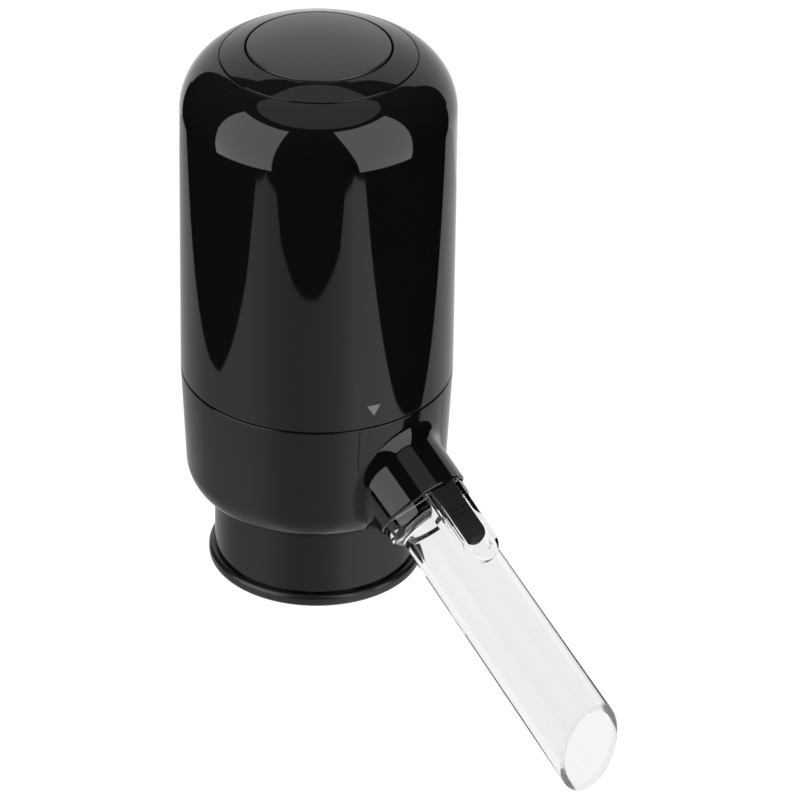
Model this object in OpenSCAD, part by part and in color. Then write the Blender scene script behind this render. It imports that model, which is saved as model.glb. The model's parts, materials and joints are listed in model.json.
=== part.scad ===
// Electric wine aerator: a battery head that twists off a pouring base, which plugs over a bottle neck.
// Millimetres, +Z up, spout towards -Y. The origin is the centre of the mouth that takes the bottle.

/* [Housings] */
// Outside diameter of both housings
body_d = 64; // [63:0.5:70]
// Wall of both housings
wall = 2.2; // [1.8:0.1:2.4]
// Height of the lower housing's floor above the mouth
collar_h = 19; // [18:0.5:24]
// Height of the lower housing
lower_h = 33.3; // [33:0.1:38]
// Radius that the lower housing loses towards its floor
lower_taper = 1.2; // [0.4:0.1:1.6]
// Corner radius under the lower housing
lower_corner_r = 9; // [8.5:0.5:10]
// Height of the upper housing's straight side
side_h = 67.8; // [67.4:0.2:76]
// Radius of the upper housing's shoulder
shoulder_r = 15; // [14:0.5:16]
// Open line between the two housings
seam_gap = 0.3; // [0.2:0.05:0.5]
// Width of the grey index mark on the upper housing
mark_w = 3.4; // [2:0.1:5]
// Turn of the index mark from the spout
mark_turn = 18.6; // [0:0.1:40]

/* [Button] */
// Diameter of the push button
button_d = 33.2; // [32:0.2:34]
// Outside diameter of the ring around the button
ring_d = 45.6; // [44.8:0.2:48]
// Radius of the domed top
dome_r = 54; // [48:1:80]
// Open line around the button
button_gap = 0.4; // [0.3:0.05:0.6]
// Travel of the button
button_travel = 1; // [0.6:0.1:1.2]
// Skin of the button cap
button_skin = 2; // [1.6:0.1:2.4]
// Wire of the button's return spring
spring_wire = 0.8; // [0.6:0.1:1]
// Turns of the return spring
spring_turns = 4; // [3:1:5]

/* [Front panel and spout socket] */
// Width of the front panel
panel_w = 26.6; // [25:0.2:29]
// Height of the front panel below the seam
panel_h = 14.3; // [12:0.1:16]
// Corner radius of the front panel
panel_corner_r = 4; // [2:0.5:5]
// Fall of the spout below the level
spout_pitch = 35; // [33:0.5:37]
// Height from the seam down to where the spout's axis leaves the wall
spout_drop = 19.8; // [19:0.1:20.4]
// Outside diameter of the spout socket
socket_d = 23.3; // [22.9:0.1:24.4]
// Reach of the socket beyond the wall, along the spout
socket_reach = 5.6; // [5:0.1:7]

/* [Spout] */
// Diameter of the clear collar that seats in the socket
collar_d = 21.6; // [21:0.1:21.8]
// Reach of the clear collar beyond the socket
collar_reach = 4.6; // [3:0.1:6]
// Outside diameter of the spout at the collar
tube_d = 17.4; // [17:0.1:18]
// Outside diameter of the spout at its tip
tip_d = 19.2; // [17.6:0.1:20]
// Wall of the spout
tube_wall = 1.6; // [1.2:0.1:2]
// Bore of the spout's plug
feed_d = 10.4; // [8:0.1:11]
// Reach of the spout's tip from the body's axis
spout_reach = 93.1; // [80:0.5:110]
// Diameter of the plug that enters the base
stub_d = 15; // [14:0.1:15.4]
// Length of the plug
stub_len = 8; // [6:0.5:8.5]

/* [Spout lock] */
// Width of the sliding lock
slider_w = 6.3; // [6:0.1:7]
// Length of the sliding lock outside the socket
slider_len = 16; // [12:0.5:17]
// Thickness of the sliding lock
slider_t = 1.85; // [1.6:0.05:2]
// Travel of the sliding lock
slider_travel = 2.5; // [2.5:0.1:5]
// Width of the clear boss that carries the lock
boss_w = 10.2; // [10:0.1:12.4]
// Height of the boss's flat top above the spout's axis
boss_top = 10.6; // [10.4:0.1:11.8]

/* [Bottle neck] */
// Bore of the seal that grips the bottle neck
neck_d = 30; // [28:0.5:32]
// Outside diameter of the neck collar
neck_collar_d = 48.2; // [47:0.2:49]
// Wall of the neck collar
neck_wall = 3.1; // [2.6:0.1:3.4]
// Diameter of the lip around the mouth
lip_d = 51; // [50.4:0.2:54]
// Height of the lip
lip_h = 3.2; // [2.8:0.1:4]
// Height of the seal's gripping bore
grip_h = 14; // [10:0.5:14]
// Diameter of the spigot that takes the dip tube
dip_d = 6; // [5:0.2:7]
// Bore of the wine path
wine_bore_d = 4; // [3:0.2:4.2]
// Length of the dip tube's spigot below the flange
dip_len = 8; // [6:0.5:8]

/* [Twist lock] */
// Turn from locked to free
twist_turn = 30; // [24:1:34]
// Width of one lug
lug_angle = 24; // [18:1:28]
// Thickness of the twist ring
twist_ring_t = 3; // [2.4:0.1:3.2]
// Thickness of a lug
lug_t = 2.6; // [2:0.1:2.8]

/* [Pump] */
// Diameter of the pump head
pump_d = 27; // [26:0.2:27.4]
// Diameter of the motor can
motor_d = 24.4; // [22:0.2:24.6]
// Length of the motor can
motor_len = 20; // [16:0.5:21]
// Distance of the pump from the body's axis
pump_x = 12; // [11.6:0.1:12.6]
// Tilt of the wobble plate
wobble_tilt = 5; // [3:0.5:6]
// Bore of the air path
air_bore_d = 3; // [2:0.2:3.2]

/* [Cell and boards] */
// Diameter of the cell
cell_d = 18.4; // [17:0.2:18.6]
// Length of the cell
cell_len = 50; // [40:0.5:50.6]
// Distance of the cell from the body's axis
cell_x = 16; // [15.6:0.1:16.6]
// Thickness of the circuit boards
board_t = 1.6; // [1:0.2:1.6]
// Width of the control board
board_w = 22; // [16:0.5:24]
// Height of the control board
board_h = 42; // [36:0.5:44]
// Width of the charge port
port_w = 8.9; // [8:0.1:10]
// Height of the charge port
port_h = 3.2; // [2.6:0.1:3.6]

/* [Fits] */
// Gap between pieces of one body
seat = 0.1; // [0.05:0.05:0.15]
// Gap between pieces that move past each other
run_gap = 0.3; // [0.25:0.05:0.4]
// Gap of a pin that turns or slides in its bore
pin_gap = 0.05; // [0.03:0.01:0.08]
// Shank diameter of the small screws
screw_d = 2; // [1.6:0.1:2.2]

/* [Hidden] */
$fn = 96;
eps = 0.01;
over = 1;

// Housing heights and radii
body_r = body_d / 2;
seam_z = collar_h + lower_h;
// The side is raised where a longer cell needs it
plate_lift = 2.5;
plate_t = 2.5;
foot_t = 2;
shelf_t = 2;
ledge_drop = 2.6;
sleeve_drop = 5;
carrier_t = 1.5;
stem_len = 4.9;
plunger_show = 1.5;
switch_h = 3.5;
cell_spare = 1;
crown_h = sqrt(pow(shoulder_r, 2) - pow(ring_d / 2 - body_r + shoulder_r, 2));
button_stack = ledge_drop + sleeve_drop + carrier_t + stem_len + plunger_show + 2 * run_gap;
switch_stack = switch_h + board_t + shelf_t;
cell_stack = plate_lift + plate_t + foot_t + cell_len + cell_spare;
cell_side = cell_stack + switch_stack + button_stack - crown_h;
shoulder_z = seam_z + max(side_h, cell_side);
shoulder_x = body_r - shoulder_r;
base_r = body_r - lower_taper;
corner_x = base_r - lower_corner_r;
corner_z = collar_h + lower_corner_r;
inner_r = body_r - wall;
mark_ratio = 0.82;
mark_h = mark_w * mark_ratio;
mark_depth = 0.6;
mark_lift = 4.6;
mark_z = seam_z + mark_lift;
mark_sag = body_r - sqrt(pow(body_r, 2) - pow(mark_w / 2, 2));

// Domed top: the ring meets the shoulder, and the dome carries on over the button
button_r = button_d / 2;
ring_r = ring_d / 2;
ring_edge_z = shoulder_z + crown_h;
dome_z = ring_edge_z - sqrt(pow(dome_r, 2) - pow(ring_r, 2));
ledge_t = 2;
ledge_z = ring_edge_z - ledge_drop;
sleeve_t = 1.5;
sleeve_in_r = button_r + button_gap;
sleeve_out_r = sleeve_in_r + sleeve_t;
ledge_gap = 0.5;
ledge_r = sleeve_out_r + ledge_gap;
sleeve_z = ledge_z - sleeve_drop;
carrier_top = sleeve_z - run_gap;
carrier_z = carrier_top - carrier_t;
carrier_r = sleeve_out_r - run_gap;
carrier_rim = 4;
carrier_rim_r = button_r - button_skin - seat;
stem_r = 2.2;
plunger_r = 1.6;
plunger_top = carrier_z - stem_len - run_gap;
plunger_len = 2.2;
switch_w = 8;
switch_z = plunger_top - plunger_show - switch_h;
switch_board_z = switch_z - board_t;
switch_board_r = 12;
spring_r = 8;
spring_z = switch_z + run_gap;
spring_top = carrier_z - run_gap;

// Front panel and spout
spout_z = seam_z - spout_drop;
panel_z = seam_z - panel_h;
panel_gap = 0.15;
socket_r = socket_d / 2;
socket_tube_wall = 1.8;
socket_tube_r = stub_d / 2 + socket_tube_wall;
spout_collar_r = collar_d / 2;
socket_bore_r = spout_collar_r + run_gap;
socket_seat = 4;
seat_s = socket_reach - socket_seat;
stub_r = stub_d / 2;
stub_bore_r = stub_r + pin_gap;
stub_end_s = seat_s + run_gap - stub_len;
socket_end_t = 2;
socket_end_s = stub_end_s - run_gap - socket_end_t;
collar_end_s = socket_reach + collar_reach;
tube_end_s = (spout_reach + tip_d - body_r) / cos(spout_pitch);
feed_lead = 2.1;
feed_end_s = seat_s + run_gap + feed_lead;
boss_lead = 1;
boss_start_s = seat_s + run_gap + boss_lead;
slider_start_s = socket_reach + run_gap;
slider_end_s = socket_reach + slider_len;
slider_side = 0.25;
pocket_w = slider_w + 2 * slider_side;
pocket_spare = 0.4;
pocket_end_s = slider_end_s + slider_travel + pocket_spare;
boss_end_t = 2;
boss_end_s = pocket_end_s + boss_end_t;
slider_proud = 0.35;
slider_top = boss_top + slider_proud;
slider_low = slider_top - slider_t;
pocket_floor = slider_low - slider_side;
rail_w = 0.6;
rail_t = 0.5;
stub_ring_t = 1.1;
stub_ring_in = 3;
stub_ring_s = stub_end_s + stub_ring_in;

// Base: wine path, bottle seat and twist ring
neck_collar_r = neck_collar_d / 2;
neck_in_r = neck_collar_r - neck_wall;
neck_spigot_t = 1.2;
neck_spigot_r = neck_in_r + neck_spigot_t;
neck_rise = 6.5;
neck_top = collar_h + neck_rise;
flange_t = 2.5;
flange_z = neck_top - flange_t;
gasket_t = 2;
gasket_z = flange_z - gasket_t;
grip_relief = 0.8;
mouth_r = 9.6;
nut_share = 0.5;
nut_r = neck_spigot_r + nut_share * (base_r - wall - neck_spigot_r);
nut_t = 3;
nut_z = corner_z - sqrt(pow(lower_corner_r - wall, 2) - pow(nut_r - corner_x, 2)) + seat / 2;
manifold_r = 17;
base_screw_in = 3;
base_screw_r = manifold_r - base_screw_in;
manifold_t = 2.5;
manifold_top = neck_top + manifold_t;
nipple_wall = 1.6;
nipple_r = wine_bore_d / 2 + nipple_wall;
wine_hose_r = nipple_r + seat / 2;
wine_hose_wall = 1.4;
wine_hose_out_r = nipple_r + wine_hose_wall;
duct_lift = 4;
duct_z = spout_z + duct_lift;
bend_r = 6;
hose_y = 19.5;
nipple_y = 14;
air_y = 8;
air_pipe_wall = 1;
air_pipe_r = air_bore_d / 2 + air_pipe_wall;
air_arm_h = 4;
air_arm_gap = 1.1;
air_arm_z = duct_z + wine_hose_out_r + air_arm_gap;
cup_z = air_arm_z + air_arm_h;
air_spigot_wall = 1.4;
air_spigot_r = air_bore_d / 2 + air_spigot_wall;
cup_bore_r = air_spigot_r + run_gap;
cup_wall = 2.3;
cup_r = cup_bore_r + cup_wall;
cup_h = 4.4;
cup_ring_t = 0.65;
cup_ring_r = air_spigot_r + pin_gap * 2 + cup_ring_t;
cup_ring_z = cup_z + cup_h / 2;
twist_drop = 0.3;
twist_top = seam_z - twist_drop;
twist_z = twist_top - twist_ring_t;
skirt_t = 2;
lug_reach = 2.1;
twist_band = 6.3;
skirt_r = inner_r - twist_band;
skirt_gap = 0.5;
twist_in_r = skirt_r + skirt_gap;
notch_gap = 0.4;
notch_r = skirt_r + lug_reach + notch_gap;
lug_gap = 0.4;
lug_z = twist_z - lug_gap - lug_t;
stop_angle = 4;
stop_gap = 1.2;
stop_inset = 0.25;
stop_in_r = twist_in_r + stop_inset;
stop_short = 0.2;
stop_r = notch_r - stop_short;
stop_sink = 0.5;
stop_h = twist_z - lug_z + stop_sink;
notch_ease = 1.4;
support_t = 2;
support_gap = 0.3;
support_in_r = notch_r + support_gap;
support_screw_in = 0.8;
support_screw_r = support_in_r + support_screw_in;
twist_ring_r = inner_r - lower_taper * (seam_z - twist_z) / (seam_z - corner_z) - seat;
base_angles = [30, 150, 270];
twist_screw_angles = [110, 230, 350];

// Head: base plate, chassis, pump stack and boards
plate_z = seam_z + plate_lift;
plate_top = plate_z + plate_t;
plate_r = inner_r - seat;
boss_r = 2.6;
boss_h = 10;
boss_ring_in = 3.6;
boss_ring_r = inner_r - boss_ring_in;
channel_w = 7;
channel_h = 4;
air_nipple_wall = 0.5;
air_nipple_r = air_bore_d / 2 + air_nipple_wall;
air_nipple_h = 2.7;
air_hose_wall = 1.3;
air_hose_r = air_nipple_r + air_hose_wall;
cell_r = cell_d / 2;
pump_r = pump_d / 2;
motor_r = motor_d / 2;
foot_w = 10;
foot_y = 20;
foot_screw_in = 4;
foot_screw_y = foot_y - foot_screw_in;
web_t = 2;
web_c = (cell_r - cell_x + pump_x - pump_r) / 2;
cell_z = plate_top + foot_t;
shelf_z = switch_board_z - shelf_t;
shelf_r = 20;
cradle_gap = 0.15;
cradle_h = 4;
cradle_shares = [0.2, 0.72];
cradle_zs = [for (share = cradle_shares) cell_z + cell_len * share];
hose_bare = 1.3;
pump_z = plate_top + channel_h + 2 * air_nipple_h + hose_bare;
cover_t = 4;
cover_rim = 4;
valve_t = 2.5;
valve_hole_r = 0.8;
valve_z = pump_z + cover_t;
diaphragm_z = valve_z + valve_t;
diaphragm_t = 1.2;
frame_z = diaphragm_z + diaphragm_t;
frame_h = 11;
frame_wall = 1.5;
frame_plate_t = 2;
frame_top = frame_z + frame_h;
cup_angles = [0, 120, 240];
pump_cup_r = 4;
pump_cup_h = 3.3;
pump_cup_ring = 7;
wobble_lift = 5.5;
wobble_z = frame_z + wobble_lift;
wobble_r = 10.2;
wobble_t = 1.6;
wobble_notch = 3;
wobble_room = 2;
crank_r = 4.5;
crank_lift = 2;
crank_z = wobble_z + crank_lift;
crank_h = 3;
shaft_r = 1;
sleeve_gap = 0.1;
sleeve_lift = 1;
sleeve_short = 4;
sleeve_h = motor_len - sleeve_short;
clamp_h = 5;
clamp_share = 0.35;
clamp_z = frame_top + motor_len * clamp_share;
pump_screw_in = 1.9;
pump_screw_ring = pump_r - pump_screw_in;
pump_screw_grip = 4;
pump_screw_angles = [60, 180, 300];
board_y = 22;
board_lift = 5;
board_z = plate_top + board_lift;
board_lug_in = 6;
board_lug_zs = [board_z + board_lug_in, board_z + board_h - board_lug_in];
board_lug_w = 5;
board_screw_x = web_c - web_t / 2 + board_lug_w / 2;
board_screw_grip = 4;
port_lift = 12;
port_z = board_z + port_lift;
port_wall = 0.4;
port_gap = 0.3;
port_inset = 1.2;
port_end = body_r - port_inset;
head_ratio = 1.1;
head_h_ratio = 0.6;
screw_head_r = screw_d * head_ratio;
screw_head_h = screw_d * head_h_ratio;
thread_gap = 0.05;
thread_r = screw_d / 2 - thread_gap;
screw_hole_r = screw_d / 2 + seat;
twist_head_z = twist_top - screw_head_h - seat;

// Colours as the photograph shows them, and plain ones for what is hidden
gloss_black = "#161617";
satin_black = "#202022";
soft_black = "#101011";
clear = [0.86, 0.9, 0.92, 0.35];
mark_grey = "#8c8f92";
steel = "#b8bcc2";
milky = "#d9d9d2";
board_green = "#1f6b3d";

// Shared shapes
module rod(r, z0, z1) {
    translate([0, 0, z0]) cylinder(r = r, h = z1 - z0);
}

module pipe(r_out, r_in, z0, z1) {
    difference() {
        rod(r_out, z0, z1);
        rod(r_in, z0 - over, z1 + over);
    }
}

module seal_ring(r, t, z) {
    rotate_extrude() translate([r, z]) circle(r = t);
}

module around(angles, r) {
    for (a = angles) rotate(a) translate([r, 0, 0]) children();
}

// Sector of a ring, from angle a0 over the given span
module sector(r_in, r_out, z0, h, a0, span) {
    translate([0, 0, z0]) rotate(a0) rotate_extrude(angle = span) {
        translate([r_in, 0]) square([r_out - r_in, h]);
    }
}

// Screw with its head's seat at z = 0 and its shank pointing up
module screw(shank) {
    rod(screw_head_r, -screw_head_h, 0);
    rod(thread_r, -eps, shank);
}

// Spout frame: z runs along the spout from the wall, y is the spout's upper side
module at_spout() {
    translate([0, -body_r, spout_z]) rotate([90 + spout_pitch, 0, 0]) children();
}

module at_pump() {
    translate([pump_x, 0, 0]) children();
}

module at_wobble() {
    at_pump() translate([0, 0, wobble_z]) rotate([0, wobble_tilt, 0]) children();
}

// Half section of the lower housing, drawn in by an inset
module lower_outline(inset, top) {
    polygon([[0, corner_z], [base_r - inset, corner_z], [body_r - inset, top], [0, top]]);
    translate([corner_x, corner_z]) circle(r = lower_corner_r - inset);
    translate([0, collar_h + inset]) square([corner_x, lower_corner_r - inset]);
}

module lower_shell() {
    difference() {
        rotate_extrude() lower_outline(0, seam_z - seam_gap / 2);
        rotate_extrude() lower_outline(wall, seam_z + over);
    }
}

// Front panel seen from the front, grown by its seam
module panel_outline(grow) {
    c = panel_w / 2 - panel_corner_r;
    r = panel_corner_r + grow;
    z = panel_z + panel_corner_r;
    translate([-c - r, z]) square([2 * (c + r), seam_z - z + over]);
    translate([-c, z - r]) square([2 * c, r]);
    for (side = [-1, 1]) translate([side * c, z]) circle(r = r);
}

module panel_prism(grow) {
    rotate([90, 0, 0]) linear_extrude(height = body_r + over) panel_outline(grow);
}

// Half section of the upper housing, drawn in by an inset
module upper_outline(inset) {
    low = seam_z + seam_gap / 2 - inset;
    translate([0, low]) square([body_r - inset, shoulder_z - low]);
    translate([0, shoulder_z]) square([shoulder_x, shoulder_r - inset]);
    intersection() {
        translate([shoulder_x, shoulder_z]) circle(r = shoulder_r - inset);
        translate([0, shoulder_z - eps]) square([body_r, shoulder_r]);
    }
}

// Lower body: the pouring base
module lower_housing() {
    color(gloss_black) difference() {
        union() {
            lower_shell();
            intersection() {
                rotate_extrude() lower_outline(wall / 2, seam_z);
                pipe(body_r, support_in_r, twist_z - support_t, twist_z);
            }
        }
        panel_prism(panel_gap);
        at_spout() rod(socket_r + panel_gap, socket_end_s, socket_reach);
        rod(neck_spigot_r + seat, collar_h - over, corner_z);
        around(twist_screw_angles, support_screw_r) rod(thread_r + eps, twist_z - support_t - over, seam_z);
    }
}

module spout_block() {
    color(gloss_black) difference() {
        union() {
            intersection() {
                lower_shell();
                panel_prism(0);
            }
            difference() {
                at_spout() rod(socket_r, socket_end_s, socket_reach);
                rotate_extrude() lower_outline(wall, seam_z + over);
            }
            at_spout() rod(socket_tube_r, socket_end_s, seat_s);
            translate([0, -nipple_y, duct_z]) rotate([90, 0, 0]) {
                rod(nipple_r, 0, body_r - nipple_y - 2 * wall);
            }
        }
        at_spout() rod(socket_bore_r, seat_s, socket_reach + over);
        at_spout() rod(stub_bore_r, stub_end_s - run_gap, seat_s + over);
        translate([0, -nipple_y, duct_z]) rotate([90, 0, 0]) {
            rod(wine_bore_d / 2, -over, body_r - nipple_y - 2 * wall);
        }
    }
}

module neck_collar() {
    color(gloss_black) difference() {
        union() {
            rotate_extrude() difference() {
                translate([neck_in_r, lip_h / 2]) square([neck_wall, collar_h]);
                lower_outline(-seat / 2, seam_z);
            }
            pipe(neck_spigot_r, neck_in_r, collar_h - over, neck_top);
            pipe(neck_in_r + eps, mouth_r, flange_z, neck_top);
        }
        around(base_angles, base_screw_r) rod(thread_r + eps, flange_z - over, neck_top + over);
    }
}

module lip_ring() {
    edge = 1.1;
    color(soft_black) rotate_extrude() difference() {
        union() {
            translate([neck_in_r, 0]) square([lip_d / 2 - edge - neck_in_r, lip_h]);
            translate([lip_d / 2 - 2 * edge, edge]) square([2 * edge, lip_h - 2 * edge]);
            translate([lip_d / 2 - edge, edge]) circle(r = edge);
            translate([lip_d / 2 - edge, lip_h - edge]) circle(r = edge);
        }
        translate([0, lip_h / 2]) square([neck_collar_r + seat / 2, lip_h]);
    }
}

module bottle_seal() {
    color(soft_black) difference() {
        pipe(neck_in_r - seat, neck_d / 2, 0, gasket_z);
        rod(neck_d / 2 + grip_relief, grip_h, gasket_z + over);
    }
}

module mouth_gasket() {
    color(milky) pipe(neck_in_r - seat, mouth_r, gasket_z, flange_z);
}

module collar_nut() {
    color(satin_black) pipe(nut_r, neck_spigot_r + seat / 2, nut_z, nut_z + nut_t);
}

module wine_manifold() {
    color(milky) difference() {
        union() {
            rod(manifold_r, neck_top, manifold_top);
            rod(nipple_r, neck_top, manifold_top + manifold_t);
            rod(dip_d / 2, flange_z - dip_len, neck_top + eps);
        }
        rod(wine_bore_d / 2, flange_z - dip_len - over, manifold_top + manifold_t + over);
        translate([0, air_y, 0]) rod(air_bore_d / 2, neck_top - over, manifold_top + over);
        translate([0, air_y, 0]) rod(air_pipe_r + seat / 2, manifold_top - over, manifold_top + over);
        around(base_angles, base_screw_r) rod(screw_hole_r, neck_top - over, manifold_top + over);
    }
}

// Silicone elbow from the manifold to the spout block
module wine_elbow() {
    top = duct_z - bend_r;
    color(milky) {
        pipe(wine_hose_out_r, wine_hose_r, manifold_top + seat, top);
        translate([0, -bend_r, top]) rotate([90, 0, 90]) rotate_extrude(angle = 90) difference() {
            translate([bend_r, 0]) circle(r = wine_hose_out_r);
            translate([bend_r, 0]) circle(r = wine_hose_r);
        }
        translate([0, -bend_r, duct_z]) rotate([90, 0, 0]) {
            pipe(wine_hose_out_r, wine_hose_r, 0, hose_y - bend_r);
        }
    }
}

// Air cup on the axis, its arm and its pipe down to the manifold
module air_bridge() {
    mid = air_arm_z + air_arm_h / 2;
    groove = cup_ring_t + seat / 2;
    color(milky) difference() {
        union() {
            rod(cup_r, air_arm_z, cup_z + cup_h);
            translate([-air_pipe_r, 0, air_arm_z]) cube([2 * air_pipe_r, air_y, air_arm_h]);
            translate([0, air_y, 0]) rod(air_pipe_r, manifold_top - over + seat / 2, cup_z);
        }
        rod(cup_bore_r, cup_z, cup_z + cup_h + over);
        rod(cup_ring_r + groove, cup_ring_z - groove, cup_ring_z + groove);
        rod(air_bore_d / 2, mid, cup_z + over);
        translate([0, 0, mid]) rotate([-90, 0, 0]) rod(air_bore_d / 2, 0, air_y);
        translate([0, air_y, 0]) rod(air_bore_d / 2, neck_top, mid);
    }
}

module air_cup_ring() {
    color(soft_black) seal_ring(cup_ring_r, cup_ring_t, cup_ring_z);
}

// Ring whose notches let the lugs of the head through
module twist_ring() {
    color(satin_black) difference() {
        union() {
            pipe(twist_ring_r, twist_in_r, twist_z, twist_top);
            for (a = base_angles) {
                sector(stop_in_r, stop_r, lug_z, stop_h, a - stop_gap - stop_angle, stop_angle);
                sector(stop_in_r, stop_r, lug_z, stop_h, a + lug_angle + twist_turn + stop_gap, stop_angle);
            }
        }
        for (a = base_angles) {
            notch = lug_angle + 1.5 * notch_ease;
            sector(twist_in_r - over, notch_r, lug_z, twist_top, a + twist_turn - notch_ease, notch);
        }
        around(twist_screw_angles, support_screw_r) rod(screw_hole_r, twist_z - over, seam_z);
        around(twist_screw_angles, support_screw_r) rod(screw_head_r + seat, twist_head_z, seam_z);
    }
}

module twist_ring_screws() {
    color(steel) around(twist_screw_angles, support_screw_r) {
        translate([0, 0, twist_head_z]) mirror([0, 0, 1]) screw(twist_head_z - twist_z + support_t);
    }
}

module manifold_screws() {
    color(steel) around(base_angles, base_screw_r) {
        translate([0, 0, manifold_top]) mirror([0, 0, 1]) screw(manifold_t + flange_t);
    }
}

// Upper body: the battery head
module upper_housing() {
    color(gloss_black) difference() {
        union() {
            rotate_extrude() difference() {
                upper_outline(0);
                upper_outline(wall);
                translate([0, ledge_z]) square([ring_r, body_r]);
            }
            rotate_extrude() intersection() {
                translate([ledge_r, ledge_z - ledge_t]) square([body_r, ledge_t]);
                upper_outline(wall / 2);
            }
            intersection() {
                around(base_angles, boss_ring_r) translate([0, -boss_r, plate_top]) {
                    cube([body_r, 2 * boss_r, boss_h]);
                }
                rotate_extrude() upper_outline(wall / 2);
            }
            around(base_angles, boss_ring_r) rod(boss_r, plate_top, plate_top + boss_h);
        }
        around(base_angles, boss_ring_r) rod(thread_r + eps, plate_top - over, plate_top + boss_h - wall);
        translate([-port_w / 2 - port_gap, 0, port_z - port_h / 2 - port_gap]) {
            cube([port_w + 2 * port_gap, body_r + over, port_h + 2 * port_gap]);
        }
        index_prism(eps, over);
    }
}

// Triangle that points at the seam, let into the side
module index_prism(grow, front) {
    rotate(-mark_turn) translate([0, -body_r + mark_depth, mark_z]) rotate([90, 0, 0]) {
        linear_extrude(height = mark_depth + front) polygon([
            [-mark_w / 2 - grow, mark_h / 2 + grow],
            [mark_w / 2 + grow, mark_h / 2 + grow],
            [0, -mark_h / 2 - 2 * grow]
        ]);
    }
}

module index_mark() {
    color(mark_grey) index_prism(-eps, -mark_sag);
}

module top_ring() {
    color(gloss_black) rotate_extrude() {
        intersection() {
            translate([0, dome_z]) circle(r = dome_r, $fn = 360);
            translate([sleeve_in_r, ledge_z]) square([ring_r - seat - sleeve_in_r, dome_r]);
        }
        translate([sleeve_in_r, sleeve_z]) square([sleeve_t, sleeve_drop + eps]);
    }
}

module base_plate() {
    color(satin_black) difference() {
        union() {
            rod(plate_r, plate_z, plate_top);
            pipe(skirt_r, skirt_r - skirt_t, lug_z, plate_z + eps);
            for (a = base_angles) sector(skirt_r - eps, skirt_r + lug_reach, lug_z, lug_t, a, lug_angle);
            rod(air_spigot_r, cup_z + run_gap * 2, plate_z + eps);
            translate([-channel_w / 2, -channel_w / 2, plate_top - eps]) {
                cube([pump_x + channel_w, channel_w, channel_h + eps]);
            }
            at_pump() rod(air_nipple_r, plate_top, plate_top + channel_h + air_nipple_h);
        }
        rod(air_bore_d / 2, cup_z, plate_top + channel_h / 2);
        translate([0, 0, plate_top + channel_h / 2]) rotate([0, 90, 0]) rod(air_bore_d / 3, 0, pump_x);
        at_pump() {
            rod(air_bore_d / 3, plate_top + channel_h / 2, plate_top + channel_h + air_nipple_h + over);
        }
        around(base_angles, boss_ring_r) rod(screw_hole_r, plate_z - over, plate_top + over);
        for (side = [-1, 1]) translate([web_c, side * foot_screw_y, 0]) {
            rod(screw_hole_r, plate_z - over, plate_top + over);
        }
    }
}

module base_plate_screws() {
    color(steel) around(base_angles, boss_ring_r) translate([0, 0, plate_z]) screw(plate_t + boss_h / 2);
}

module chassis_screws() {
    color(steel) for (side = [-1, 1]) translate([web_c, side * foot_screw_y, plate_z]) {
        screw(plate_t + 3 * foot_t);
    }
}

// Frame that stands on the base plate and holds the cell, the pump and both boards
module chassis() {
    color(satin_black) difference() {
        union() {
            translate([web_c - web_t / 2, -foot_y, plate_top]) {
                cube([web_t, 2 * foot_y, shelf_z + shelf_t - plate_top]);
            }
            translate([web_c - foot_w / 2, -foot_y, plate_top]) cube([foot_w, 2 * foot_y, foot_t]);
            for (side = [-1, 1]) translate([web_c, side * foot_screw_y, 0]) {
                rod(2 * screw_d, plate_top, plate_top + 4 * foot_t);
            }
            translate([-cell_x, 0, 0]) rod(cell_r + cradle_gap + web_t, plate_top, cell_z);
            for (z = cradle_zs) translate([-cell_x, 0, 0]) {
                pipe(cell_r + cradle_gap + web_t, cell_r + cradle_gap, z, z + cradle_h);
            }
            at_pump() pipe(pump_r + cradle_gap + web_t, pump_r + cradle_gap, clamp_z, clamp_z + clamp_h);
            rod(shelf_r, shelf_z, shelf_z + shelf_t);
            for (z = board_lug_zs) translate([web_c - web_t / 2, foot_y - over, z - board_lug_w / 2]) {
                cube([board_lug_w, board_y - foot_y + over, board_lug_w]);
            }
        }
        translate([-channel_w / 2 - seat, -channel_w / 2 - seat, plate_top - over]) {
            cube([pump_x + channel_w, channel_w + 2 * seat, channel_h + over + seat]);
        }
        translate([-cell_x, 0, 0]) rod(cell_r + cradle_gap, cell_z, cell_z + cell_len + cradle_gap);
        at_pump() rod(pump_r + cradle_gap, pump_z - cradle_gap, frame_top + motor_len + cradle_gap);
        for (side = [-1, 1]) translate([web_c, side * foot_screw_y, 0]) {
            rod(thread_r + eps, plate_top - over, plate_top + 3 * foot_t);
        }
        for (z = board_lug_zs) translate([board_screw_x, board_y + over, z]) rotate([90, 0, 0]) {
            rod(thread_r + eps, 0, over + board_lug_w);
        }
    }
}

module battery_cell() {
    nub = 0.8;
    color("#2f6fb0") translate([-cell_x, 0, 0]) {
        rod(cell_r, cell_z, cell_z + cell_len - nub);
        rod(cell_r / 3, cell_z + cell_len - nub - eps, cell_z + cell_len);
    }
}

module control_board() {
    chip = 6;
    color(board_green) difference() {
        union() {
            translate([-board_w / 2, board_y, board_z]) cube([board_w, board_t, board_h]);
            translate([0, board_y - board_t, board_z + board_h / 2]) cube([chip, board_t + eps, chip]);
        }
        for (z = board_lug_zs) translate([board_screw_x, board_y + board_t + over, z]) rotate([90, 0, 0]) {
            rod(screw_hole_r, 0, board_t + 2 * over);
        }
    }
}

module board_screws() {
    color(steel) for (z = board_lug_zs) {
        translate([board_screw_x, board_y + board_t, z]) rotate([90, 0, 0]) {
            screw(board_t + board_screw_grip);
        }
    }
}

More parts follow.
